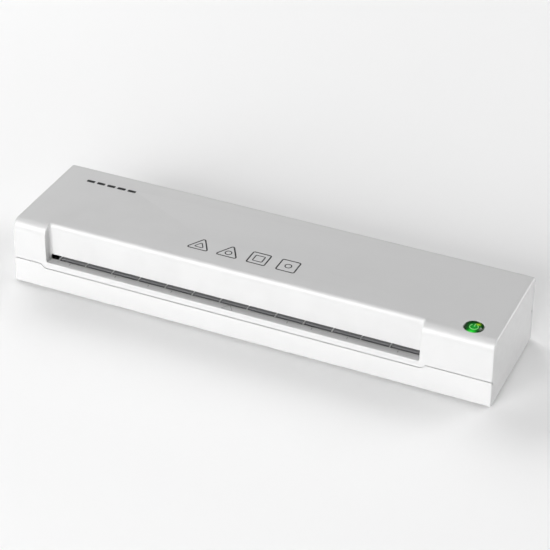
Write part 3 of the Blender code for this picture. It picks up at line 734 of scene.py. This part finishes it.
WELL_R = 5.0
WELL_HIGH = 12.6
HEAD_POCKET_R = 3.4
HEAD_POCKET = 8.0
VENT_COUNT = 12
VENT_PITCH = 24.0
VENT_FIRST = -150.0
VENT_Y = -7.0
VENT_HALF = (1.6, 13.0)
GROOVE_DEPTH = 1.4
GROOVE_YS = (FRONT + 0.35, FRONT + 1.9)
RIB_PLACES = (-24.0, 10.5)
FOOT_SEAT_R = 6.3
LABEL_PLACE = (-18.0, 25.0)
LABEL_HALF = (46.0, 9.0)


def make_fascia():
    """Front wall of the lower case: rounded foot, rounded ends, flat inner face."""
    skin = Skin()
    profile = [(FRONT + FASCIA, BOTTOM)]
    normals = [(0.0, -1.0)]
    for k in range(13):
        angle = math.radians(270.0 - 90.0 * k / 12)
        normals.append((math.cos(angle), math.sin(angle)))
        profile.append((FRONT + FOOT_ROUND + FOOT_ROUND * math.cos(angle),
                        BOTTOM + FOOT_ROUND + FOOT_ROUND * math.sin(angle)))
    high = SEAM_END + 8.0
    profile.append((FRONT, high))
    normals.append((-1.0, 0.0))
    ends = rounded_ends(skin, profile, normals)
    for sign, strip in zip((-1.0, 1.0), ends):
        skin.face([row[0] for row in strip] + [(sign * half_at(high), FRONT + FASCIA, high)])
    left, right = ends
    for i in range(len(profile) - 1):
        skin.face((left[i][-1], left[i + 1][-1], right[i + 1][-1], right[i][-1]))
    back = [(sign * half_at(high), FRONT + FASCIA, high) for sign in (1.0, -1.0)]
    skin.face(left[-1] + list(reversed(right[-1])) + back)
    skin.face(left[0] + list(reversed(right[0])) + back)
    return skin.object("base_shell")


def flared_slots(name, spots, half, radius, axis, inside, face, flare):
    """Slots through a wall square to an axis, opened a little towards its outer face."""
    out = math.copysign(1.0, face - inside)
    levels = ((inside, 0.0), (face - out * flare, 0.0), (face, flare), (face + out * 3.0, flare))
    stacks = []
    for spot in spots:
        loops = []
        for level, grow in levels:
            outline = rounded_outline(rectangle(spot, half), -grow, radius + grow, 5)
            loops.append(placed(outline, axis, level))
        stacks.append(loops)
    return loft(name, stacks)


def build_base_tray():
    base = make_fascia()
    above = [(WIDE, TOP), (-WIDE, TOP)]
    trim = above + seam_points(-SEAM_GAP / 2)
    groove = above + seam_points(-SEAM_GAP / 2 - GROOVE_DEPTH)
    carve(base, [prism("seam_trim", trim, "Y", FRONT - 6.0, FRONT + 9.0),
                 prism("seam_groove", groove, "Y", *GROOVE_YS)])
    half = HALF - WALL - GAP - 0.1
    floor = box("tray_floor", (-half, FRONT + 2.2, BOTTOM), (half, REAR_SIDE_Y - GAP, FLOOR_TOP))
    wells = [round_bar("well", spot, WELL_R, BOTTOM + 0.5, WELL_HIGH, steps=40)
             for spot in SCREW_SPOTS]
    ribs = [box("tray_rib", (4.0 - half, y - 0.6, BOTTOM + 0.5),
                (half - 4.0, y + 0.6, FLOOR_TOP + 0.4)) for y in RIB_PLACES]
    carve(base, [floor] + wells + ribs, "UNION")
    tools = []
    for spot in SCREW_SPOTS:
        pocket = [(HEAD_POCKET_R + 0.5, BOTTOM - 4.0), (HEAD_POCKET_R + 0.5, BOTTOM),
                  (HEAD_POCKET_R, BOTTOM + 0.5), (HEAD_POCKET_R, HEAD_POCKET)]
        tools.append(lathe("well_pocket", spot, pocket, 48))
        tools.append(round_bar("well_bore", spot, PILOT_R, 5.0, 20.0, steps=24))
    for node in FOOT_NODES:
        tools.append(round_bar("foot_seat", middle_of(node), FOOT_SEAT_R, -3.0, BOTTOM + 0.7))
    spots = [(VENT_FIRST + VENT_PITCH * i, VENT_Y) for i in range(VENT_COUNT)]
    tools.append(flared_slots("floor_vents", spots, VENT_HALF, 1.55, "Z", FLOOR_TOP + 3.0,
                              BOTTOM, 0.4))
    label = rounded_outline(rectangle(LABEL_PLACE, LABEL_HALF), 0.0, 2.0)
    tools.append(prism("label_recess", label, "Z", -3.0, BOTTOM + 0.35))
    carve(base, tools)
    finish_shape(base, BASE_WHITE, angle=24.0)
    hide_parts("base_tray")


# ---- rear cover

INLET_LO, INLET_HI = mm_box("mains_inlet")
INLET = middle_of("mains_inlet", 0, 2)
EXIT_X0 = -172.0
EXIT_X1 = 143.0
EXIT_LOW = 26.8
EXIT_HIGH = 34.0
REAR_VENTS = 26
REAR_VENT_FIRST = -164.5
REAR_VENT_PITCH = 12.0
REAR_VENT_Z = 46.0
REAR_VENT_HALF = (1.5, 5.0)
REAR_WALL = 3.4
REAR_CEILING = 56.4
REAR_INSIDE = BACK - 8.0
STRIP_DROP = 0.55
NOTCH_LOW = 29.4
NOTCH_HIGH = 31.6


def make_rear_block():
    """Outer form of the rear cover: tight corners in plan, eased top and bottom edges."""
    levels = [(RIM_R * (1.0 - math.cos(a)), RIM_R * (1.0 - math.sin(a)))
              for a in quarter(RIM_STEPS)]
    stack = [(BOTTOM + rise, inset) for rise, inset in levels]
    stack += [(TOP - STRIP_DROP - rise, inset) for rise, inset in reversed(levels)]
    loops = []
    for z, inset in stack:
        half = half_at(z)
        front = REAR_SIDE_Y - 6.0
        corners = [(-half, front), (half, front), (half, BACK), (-half, BACK)]
        loops.append(placed(rounded_outline(corners, inset, REAR_CORNER - inset), "Z", z))
    return loft("rear_shell", [loops])


def build_rear_cover():
    rear = make_rear_block()
    vents = [(REAR_VENT_FIRST + REAR_VENT_PITCH * i, REAR_VENT_Z) for i in range(REAR_VENTS)]
    middle = ((EXIT_X0 + EXIT_X1) / 2, (EXIT_LOW + EXIT_HIGH) / 2)
    half = ((EXIT_X1 - EXIT_X0) / 2, (EXIT_HIGH - EXIT_LOW) / 2)
    tools = [
        box("rear_front_trim", (-WIDE, 20.0, -20.0), (WIDE, REAR_SIDE_Y + GAP, 90.0)),
        box("rear_top_trim", (-WIDE, 20.5, TOP - TOP_DEPTH - GAP), (WIDE, REAR_TOP_Y + GAP, 95.0)),
        box("rear_hollow", (REAR_WALL - HALF, 19.0, FLOOR_TOP),
            (HALF - REAR_WALL, BACK - WALL, REAR_CEILING)),
        flared_slots("exit_cut", [middle], half, 1.2, "Y", REAR_INSIDE, BACK, 0.6),
        flared_slots("vent_cut", vents, REAR_VENT_HALF, 1.45, "Y", REAR_INSIDE, BACK, 0.35),
        flared_slots("inlet_cut", [INLET], (9.6, 5.0), 1.4, "Y", REAR_INSIDE, BACK, 0.4),
    ]
    for sign in (-1.0, 1.0):
        left, right = sorted((sign * (HALF - 1.4), sign * (HALF + 3.0)))
        tools.append(box("pry_notch", (left, REAR_SIDE_Y - 1.0, NOTCH_LOW),
                         (right, REAR_SIDE_Y + 2.2, NOTCH_HIGH)))
    carve(rear, tools)
    finish_shape(rear, REAR_WHITE, angle=24.0)
    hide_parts("rear_cover")


INLET_HALF = (11.5, 6.5)
INLET_FACE = 50.4
NOSE_HALF = (9.2, 4.6)
MOUTH_R = 3.2
MOUTH_REACH = 4.6
MOUTH_DEEP = 40.0
PIN_R = 1.3
PIN_REACH = 4.4


def build_mains_inlet():
    """Appliance inlet with a figure-of-eight mouth and two round pins."""
    body = rounded_outline(rectangle(INLET, INLET_HALF), 0.0, 1.0)
    inlet = prism("mains_inlet_body", body, "Y", INLET_LO[1], INLET_FACE)
    nose = []
    for y, inset in ((45.0, 0.0), (INLET_HI[1] - 0.4, 0.0), (INLET_HI[1], 0.4)):
        nose.append(placed(rounded_outline(rectangle(INLET, NOSE_HALF), inset, 1.6), "Y", y))
    carve(inlet, [loft("nose", [nose])], "UNION")
    mouth = arc((INLET[0] + MOUTH_REACH, INLET[1]), (MOUTH_R, MOUTH_R), -130, 130, 20)
    mouth += arc((INLET[0] - MOUTH_REACH, INLET[1]), (MOUTH_R, MOUTH_R), 50, 310, 20)
    carve(inlet, [prism("mouth", mouth, "Y", MOUTH_DEEP, 60.0)])
    finish_shape(inlet, INLET_BLACK, angle=30.0)
    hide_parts("mains_inlet")
    pin = [(PIN_R, MOUTH_DEEP - 0.3)] + arc((0.0, 50.0), (PIN_R, 1.0), 0, 80, 6)
    pins = loft("inlet_pins", [[placed(circle((INLET[0] + side, INLET[1]), radius, 24), "Y", y)
                                for radius, y in pin] for side in (-PIN_REACH, PIN_REACH)])
    finish_shape(pins, STEEL, angle=40.0)


# ---- feet and screws

THREAD_PITCH = 1.1
THREAD_ROOT = 1.15
THREAD_R = 1.5
CROSS_HALF = (1.75, 0.34)
CROSS_DEPTH = 1.3


def build_feet():
    for node in FOOT_NODES:
        lo, hi = mm_box(node)
        radius = (hi[0] - lo[0]) / 2
        profile = [(0.0, 0.55), (radius - 2.4, 0.55), (radius - 2.1, 0.2)]
        profile += [(radius - 1.9, 0.0), (radius - 0.6, 0.0)]
        profile += arc((radius - 0.5, 0.5), (0.5, 0.5), 290, 360, 5)
        profile += [(radius, hi[2] - 0.1), (radius - 0.1, hi[2]), (0.0, hi[2])]
        foot = lathe(node + "_pad", middle_of(node), profile, 64)
        finish_shape(foot, FOOT)
        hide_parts(node)


def build_screws():
    for node in SCREW_NODES:
        lo, hi = mm_box(node)
        x, y = middle_of(node)
        radius = (hi[0] - lo[0]) / 2
        seat = HEAD_POCKET - GAP
        profile = [(0.0, lo[2])]
        profile += arc((radius - 1.6, lo[2] + 1.1), (1.6, 1.1), 270, 360, 8)
        profile += [(radius, seat), (1.4, seat)]
        z = seat + 0.4
        while z < hi[2] - 2.6:
            profile += [(THREAD_ROOT, z), (THREAD_ROOT, z + 0.35), (THREAD_R, z + 0.6)]
            z += THREAD_PITCH
        profile += [(1.1, hi[2] - 1.8), (0.0, hi[2])]
        screw = lathe(node + "_detail", (x, y), profile, 32)
        carve(screw, [box("cross", (x - dx, y - dy, 0.0), (x + dx, y + dy, lo[2] + CROSS_DEPTH))
                      for dx, dy in (CROSS_HALF, CROSS_HALF[::-1])])
        finish_shape(screw, STEEL)
        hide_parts(node)


# ---- pressure springs

SPRING_WIRE = 0.45
SPRING_PITCH = 1.7
SPRING_CLOSED = 2.1 * SPRING_WIRE
SPRING_STEPS = 40


def build_springs():
    """Coils over the upper bushes, closed at both ends."""
    for side in ("left", "right"):
        node = "pressure_spring_" + side
        lo, hi = mm_box(node)
        x, y = middle_of(node)
        coil = (hi[0] - lo[0]) / 2 - SPRING_WIRE
        low, high = lo[2] + SPRING_WIRE, hi[2] - SPRING_WIRE
        free = high - low - 2.0 * SPRING_CLOSED
        turns = 2 + round(free / SPRING_PITCH)
        loops = []
        for i in range(turns * SPRING_STEPS + 1):
            turn = i / SPRING_STEPS
            z = low + SPRING_CLOSED * (min(turn, 1.0) + max(turn - turns + 1.0, 0.0))
            z += free * min(max((turn - 1.0) / (turns - 2.0), 0.0), 1.0)
            way = 2.0 * math.pi * turn
            ring = circle((coil, z), SPRING_WIRE, 10)
            loops.append([(x + r * math.cos(way), y + r * math.sin(way), h) for r, h in ring])
        spring = loft(node + "_coil", [loops])
        finish_shape(spring, STEEL, angle=60.0)
        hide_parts(node)
        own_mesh(spring)


# ---- rollers and motor

SHAFT_R = 3.0
CORE_R = 8.7
CORE_ENDS = (-180.0, 151.0)
SLEEVE_BORE = 9.0
BUSH_BORE = 3.25
BUSH_NECK = 5.0
BUSH_FLANGE = 1.5
PINION_BORE = 2.8


def turned(node, profile, look, body="root", closed=False, tools=()):
    """Piece turned about a level axis along X, in place of a CAD node."""
    piece = lathe(node + "_turned", middle_of(node, 1, 2), profile, 96, closed, "X")
    if tools:
        carve(piece, tools)
    finish_shape(piece, look, body=body)
    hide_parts(node)


def clip_end(end, inward):
    """Shaft end with a chamfer and a groove for its clip: (radius, place) from the tip."""
    radii = ((0.0, 0.0), (SHAFT_R - 0.4, 0.0), (SHAFT_R, 0.4), (SHAFT_R, 1.6),
             (SHAFT_R - 0.5, 1.6), (SHAFT_R - 0.5, 2.3), (SHAFT_R, 2.3))
    return [(radius, end + inward * reach) for radius, reach in radii]


def drum(radius, low, high, ease, steps=6):
    """Profile of a drum's outside with eased rims, from its low to its high end."""
    return (arc((radius - ease, low + ease), (ease, ease), 270, 360, steps)
            + arc((radius - ease, high - ease), (ease, ease), 0, 90, steps))


def build_rollers():
    for side in ("lower", "upper"):
        body = side + "_roller"
        lo, hi = mm_box(body + "_core")
        profile = clip_end(lo[0], 1.0)
        profile += [(SHAFT_R, CORE_ENDS[0]), (CORE_R - 0.4, CORE_ENDS[0]),
                    (CORE_R, CORE_ENDS[0] + 0.4), (CORE_R, CORE_ENDS[1] - 0.4),
                    (CORE_R - 0.4, CORE_ENDS[1]), (SHAFT_R, CORE_ENDS[1])]
        profile += reversed(clip_end(hi[0], -1.0))
        turned(body + "_core", profile, STEEL, body)
        lo, hi = mm_box(body + "_sleeve")
        radius = (hi[2] - lo[2]) / 2
        profile = [(SLEEVE_BORE, lo[0])] + drum(radius, lo[0], hi[0], 0.6) + [(SLEEVE_BORE, hi[0])]
        turned(body + "_sleeve", profile, SILICONE, body, closed=True)


def build_bushes():
    for side in ("left", "right"):
        node = "lower_bush_" + side
        lo, hi = mm_box(node)
        radius = (hi[2] - lo[2]) / 2
        inner, outer = sorted((lo[0], hi[0]), key=abs)
        way = math.copysign(1.0, outer)
        face = inner + way * BUSH_FLANGE
        profile = [(BUSH_BORE, inner), (radius - 0.3, inner), (radius, inner + way * 0.3),
                   (radius, face), (BUSH_NECK, face), (BUSH_NECK, outer - way * 0.3),
                   (BUSH_NECK - 0.3, outer), (BUSH_BORE, outer)]
        turned(node, profile, BUSH, closed=True)


def build_drive():
    lo, hi = mm_box("drive_motor")
    radius = (hi[2] - lo[2]) / 2
    rim = hi[0] - 2.1
    profile = [(0.0, lo[0])]
    profile += arc((radius - 1.0, lo[0] + 1.0), (1.0, 1.0), 270, 360, 6)
    profile += [(radius, lo[0] + 4.4), (radius - 0.35, lo[0] + 4.7), (radius - 0.35, lo[0] + 5.3),
                (radius, lo[0] + 5.6)]
    profile += arc((radius - 1.0, rim - 1.0), (1.0, 1.0), 0, 90, 6)
    profile += [(9.6, rim), (9.0, rim + 0.5), (9.0, hi[0] - 0.4), (8.6, hi[0]), (3.4, hi[0]),
                (3.0, hi[0] - 0.5), (0.0, hi[0] - 0.5)]
    turned("drive_motor", profile, SHEET_STEEL)
    lo, hi = mm_box("gearbox")
    radius = (hi[2] - lo[2]) / 2
    profile = [(0.0, lo[0])] + drum(radius, lo[0], hi[0], 0.6, 5) + [(0.0, hi[0])]
    bore = round_bar("shaft_bore", middle_of("motor_pinion", 1, 2), PINION_BORE,
                     lo[0] - 5.0, lo[0] + 3.4, "X", 48)
    turned("gearbox", profile, BLACK, tools=[bore])


# ---- power button

LENS_HIGH = mm_box("power_button")[1][2]
CAP_R = 6.9
BEZEL_LOW = 58.0
CAP_LOW = 56.0
STEM_SEAT = 59.7
STEM_ROOM = 4.6
SYMBOL_RADII = (3.75, 3.05)


def lens_point(dx, dy):
    return (BUTTON[0] + dx, BUTTON[1] + dy, LENS_HIGH)


def button_glow_and_painted_light(name, rough):
    """Green glow of the lit button with painted light over it: a painted highlight at the front,
    painted shade at both ends, a painted yellowish glint at the far right.
    """
    return glowing_lens(
        name, (0.003, 0.02, 0.004), (lens_point(0.0, 0.0), 7.6), (0.012, 0.34, 0.03),
        # painted shade at the left and right ends, a painted highlight at the front rim, a painted
        # yellowish glint at the far right
        ((lens_point(-6.8, -0.6), 5.0, (0.003, 0.008, 0.002)),
         (lens_point(6.8, -0.6), 5.0, (0.006, 0.01, 0.001)),
         (lens_point(0.0, -7.4), 5.0, (0.02, 0.82, 0.04)),
         (lens_point(2.2, 4.8), 2.6, (0.42, 0.72, 0.01))), 1.0, rough)


# The lens glows from the light under it, with painted highlights and shade; the bezel ring is no
# lamp, so its glow is all painted light.
LENS_GREEN = button_glow_and_painted_light("green_lens", 0.2)
BEZEL_PAINTED_GLOW = button_glow_and_painted_light("bezel_painted_glow", 0.24)
SYMBOL = glowing_lens("symbol_green", (0.1, 0.3, 0.1), (lens_point(0.0, -3.0), 9.0),
                  (0.16, 0.56, 0.14), (), 0.8, 0.3)


def build_button():
    outer = HOLE_R - GAP
    inner = CAP_R + 0.35
    half = (outer - inner) / 2
    profile = [(inner, BEZEL_LOW), (outer + 1.2, BEZEL_LOW), (outer + 1.2, BEZEL_LOW + 1.0),
               (outer, BEZEL_LOW + 1.0)]
    profile += arc((outer - half, BEZEL_HI[2] - 0.5), (half, 0.5), 0, 180, 14)
    bezel = lathe("bezel_ring", BUTTON, profile, 96, closed=True)
    finish_shape(bezel, BEZEL_PAINTED_GLOW)
    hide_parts("button_bezel")

    flange = CAP_R + 1.3
    profile = [(0.0, STEM_SEAT), (STEM_ROOM, STEM_SEAT), (STEM_ROOM, CAP_LOW), (flange, CAP_LOW),
               (flange, CAP_LOW + 1.5), (CAP_R, CAP_LOW + 1.5)]
    profile += arc((CAP_R - 0.5, LENS_HIGH - 1.3), (0.5, 0.5), 0, 50, 5)
    profile += arc((4.55, LENS_HIGH - 0.2), (0.25, 0.2), 60, 120, 4)
    profile += [(4.1, LENS_HIGH - 0.16), (2.6, LENS_HIGH - 0.3), (1.2, LENS_HIGH - 0.38),
                (0.0, LENS_HIGH - 0.4)]
    cap = lathe("button_lens", BUTTON, profile, 96)
    finish_shape(cap, LENS_GREEN, body="button")
    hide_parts("power_button")

    outer, inner = SYMBOL_RADII
    ring = arc(BUTTON, (outer, outer), 128, 412, 40) + arc(BUTTON, (inner, inner), 412, 128, 40)
    symbol = prism("symbol_ring", ring, "Z", LENS_HIGH - 0.5, LENS_HIGH - 0.02)
    finish_shape(symbol, SYMBOL, body="button")
    stroke = rounded_outline(rectangle((BUTTON[0], BUTTON[1] + 2.5), (0.38, 1.7)), 0.0, 0.36)
    bar = prism("symbol_bar", stroke, "Z", LENS_HIGH - 0.5, LENS_HIGH - 0.01)
    finish_shape(bar, SYMBOL, body="button")


# ---- entry guide and marks

RIB_COUNT = 13
RIB_FIRST = -175.2
RIB_PITCH = 25.05
RIB_HALF = 0.6
PATH_MIDDLE = (RECESS_X0 + RECESS_X1) / 2
SHEET_HALVES = (148.5, 105.0, 74.0, 52.5)
TICK_HALF = (0.35, 1.3)
TICK_RISE = 0.12
POINTER_HALF = 5.6
POINTER_LENGTH = 7.8
MARK_DEPTH = 0.25


def build_entry_guide():
    lo, hi = mm_box("entry_guide_lower")
    front, back = lo[1], hi[1]
    section = [(front, 25.6), (front, 27.0), (front + 0.2, 27.2), (front + 2.2, 27.45),
               (front + 2.5, 27.25), (front + 3.0, 27.25), (front + 3.3, 27.6),
               (back - 0.3, 28.9), (back, 28.7), (back, 27.2)]
    guide = prism("guide_plate", section, "X", lo[0], hi[0])
    # dark plate: its own dark grey, also painted shade for the inside of the slot
    finish_shape(guide, GUIDE_DARK, rounding=0.08)
    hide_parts("entry_guide_lower")
    stacks = []
    for i in range(RIB_COUNT):
        x = RIB_FIRST + RIB_PITCH * i
        loops = []
        for y, z in ((front + 0.2, 27.9), (front + 0.7, 28.1), (back - 0.7, hi[2]),
                     (back - 0.2, 29.1)):
            top = arc((x, z - RIB_HALF), (RIB_HALF, RIB_HALF), 0, 180, 8)
            feet = [(x - RIB_HALF, y, z - 1.6), (x + RIB_HALF, y, z - 1.6)]
            loops.append(placed(top, "Y", y) + feet)
        stacks.append(loops)
    ribs = loft("guide_ribs", stacks)
    # lighter grey on ribs moulded with the plate: painted highlight
    finish_shape(ribs, RIB_PAINTED_HIGHLIGHT, angle=50.0)


def build_ledge_marks():
    """Sheet-size ticks on the entry ledge, in pairs about a pointer at the path's middle."""
    y = (FRONT + RECESS_Y) / 2 + 1.0
    base = FRONT + 0.7
    low = SLOT_LOW - 0.4
    high = SLOT_LOW + TICK_RISE
    stacks = []
    for reach in SHEET_HALVES:
        for sign in (-1.0, 1.0):
            x = PATH_MIDDLE + sign * reach
            tick = rounded_outline(rectangle((x, y), TICK_HALF), 0.0, 0.3, 4)
            stacks.append([placed(tick, "Z", z) for z in (low, high)])
    pointer = [(PATH_MIDDLE - POINTER_HALF, base), (PATH_MIDDLE + POINTER_HALF, base),
               (PATH_MIDDLE, base + POINTER_LENGTH)]
    stacks.append(band(pointer, 0.6, 0.5, 0.0, low, high))
    ticks = loft("sheet_ticks", stacks)
    finish_shape(ticks, TICK_GREY)


# ---- printed marks

MARK_FIRST = -53.7
MARK_PITCH = 26.35
MARK_Y = -18.4
MARK_LINE = 1.15
TRIANGLE_Y = MARK_Y - 2.6
TRIANGLE_R = 12.2
SQUARE_HALF = (8.6, 8.6)
DASH_COUNT = 5
DASH_FIRST = -190.0
DASH_PITCH = 10.0
DASH_HALF = (DASH_PITCH * 0.38, 1.7)
DASH_Y = 32.6


def polygon(center, radius, sides):
    """Corners of a regular polygon with one corner pointing to the back."""
    return arc(center, (radius, radius), 90.0, 450.0 - 360.0 / sides, sides - 1)


def band(corners, radius, width, grow, low, high):
    """Ring of loops between an outline and the same outline moved inwards."""
    loops = []
    for z, inset in ((low, -grow), (high, -grow), (high, width + grow), (low, width + grow)):
        loops.append(placed(rounded_outline(corners, inset, radius - inset), "Z", z))
    return loops + [loops[0]]


def printed_marks(name, grow, low, high):
    """Plain framed shapes near the front of the top, and a row of dashes at its far left."""
    stacks = []
    for i in range(4):
        x = MARK_FIRST + MARK_PITCH * i
        middle = (x, TRIANGLE_Y if i < 2 else MARK_Y)
        outer = polygon(middle, TRIANGLE_R, 3) if i < 2 else rectangle(middle, SQUARE_HALF)
        stacks.append(band(outer, 1.9, MARK_LINE, grow, low, high))
        if i % 2:
            inner, radius = rectangle(middle, (3.2, 3.2)), 3.2
        elif i:
            inner, radius = rectangle(middle, (4.6, 4.6)), 1.2
        else:
            inner, radius = polygon(middle, 5.6, 3), 1.2
        stacks.append(band(inner, radius, MARK_LINE * 0.8, grow, low, high))
    for i in range(DASH_COUNT):
        spot = (DASH_FIRST + DASH_PITCH * (i + 0.5), DASH_Y)
        outline = rounded_outline(rectangle(spot, DASH_HALF), -grow, 0.8 + grow, 5)
        stacks.append([placed(outline, "Z", z) for z in (low, high)])
    return loft(name, stacks)


def build_printed_marks():
    marks = printed_marks("top_marks", 0.0, TOP - MARK_DEPTH, TOP - 0.02)
    finish_shape(marks, INK)


# ---- looks of the CAD pieces

NODE_LOOKS = {
    ALUMINIUM: ("heater_plate_lower", "heater_plate_upper"),
    MICA: ("heating_element_lower", "heating_element_upper"),
    INSULATOR: ("heater_block_left", "heater_block_right"),
    STEEL: ("tie_bar_front", "tie_bar_rear"),
    SHEET_STEEL: ("side_frame_left", "side_frame_right", "motor_mount"),
    ACETAL: ("lower_roller_gear", "upper_roller_gear", "motor_pinion"),
    BUSH: ("upper_bush_left", "upper_bush_right"),
    BLACK: ("tact_switch", "button_stem", "thermostat"),
    CAN_FILM: ("board_capacitor",),
    LENS_GREEN: ("status_led",),
    NYLON: ("board_connector", "thermal_fuse"),
    BOARD: ("control_board",),
    GUIDE_DARK: ("entry_guide_upper", "exit_guide_lower", "exit_guide_upper"),
    WIRE_RED: ("wire_heater",),
    WIRE_DARK: ("wire_mains", "wire_motor"),
}


def finish_nodes():
    """Give every carried-over CAD piece its material."""
    for look, names in NODE_LOOKS.items():
        for name in names:
            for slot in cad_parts[name].material_slots:
                slot.material = look


build_top_cover()
build_base_tray()
build_rear_cover()
build_mains_inlet()
build_feet()
build_screws()
build_springs()
build_rollers()
build_bushes()
build_drive()
build_button()
build_entry_guide()
build_ledge_marks()
build_printed_marks()
finish_nodes()

# ---- stage and light

FLOOR_HALF = 6.0
LIGHT_DISTANCE = 2.6
LIGHT_AIM = Vector((0.0, 0.0, 0.03))


def make_stage():
    mesh = bpy.data.meshes.new("floor")
    corners = [(x, y, 0.0) for x, y in rectangle((0.0, 0.0), (FLOOR_HALF, FLOOR_HALF))]
    mesh.from_pydata(corners, [], [(0, 1, 2, 3)])
    floor = new_object("floor", mesh)
    n = Nodes("floor_pale")
    n.fill(n.shader, Base_Color=(0.9, 0.9, 0.9, 1.0), Roughness=0.9)
    mesh.materials.append(n.mat)
    world = bpy.data.worlds.new("studio")
    bpy.context.scene.world = world
    world.use_nodes = True
    sky = world.node_tree.nodes["Background"]
    sky.inputs["Color"].default_value = (1.0, 1.0, 1.0, 1.0)
    sky.inputs["Strength"].default_value = 0.02


def area_light(name, azimuth, elevation, size, power, shares=(True, True)):
    """Soft box round the object: azimuth from the front, positive to the right.

    shares tells whether it is seen in reflections and whether it lights dull surfaces.
    """
    turn = math.radians(azimuth)
    rise = math.radians(elevation)
    away = Vector((math.sin(turn) * math.cos(rise), -math.cos(turn) * math.cos(rise),
                   math.sin(rise)))
    data = bpy.data.lights.new(name, "AREA")
    data.shape = "RECTANGLE"
    data.size = size[0]
    data.size_y = size[1]
    data.energy = power
    light = new_object(name, data)
    light.visible_glossy = shares[0]
    light.visible_diffuse = shares[1]
    light.location = away * LIGHT_DISTANCE + LIGHT_AIM
    light.rotation_euler = away.to_track_quat("Z", "Y").to_euler()


make_stage()
# name, azimuth and elevation in degrees, size in metres, power in watts
area_light("front_box", -8.0, 17.5, (2.2, 1.35), 90.0, (False, True))
area_light("right_low", 102.0, 15.0, (1.2, 1.2), 20.0)
area_light("right_high", 131.0, 34.0, (1.2, 1.2), 22.0)
area_light("left_high", -141.0, 35.0, (1.2, 1.2), 19.0, (False, True))
area_light("left_low", -110.0, 35.0, (1.2, 1.2), 26.0, (False, True))
area_light("round_sheen", -26.0, 38.0, (2.2, 1.6), 92.0, (True, False))
area_light("edge_sheen", 145.0, 19.0, (1.3, 1.2), 38.0, (True, False))

bpy.context.scene.view_settings.view_transform = "Standard"
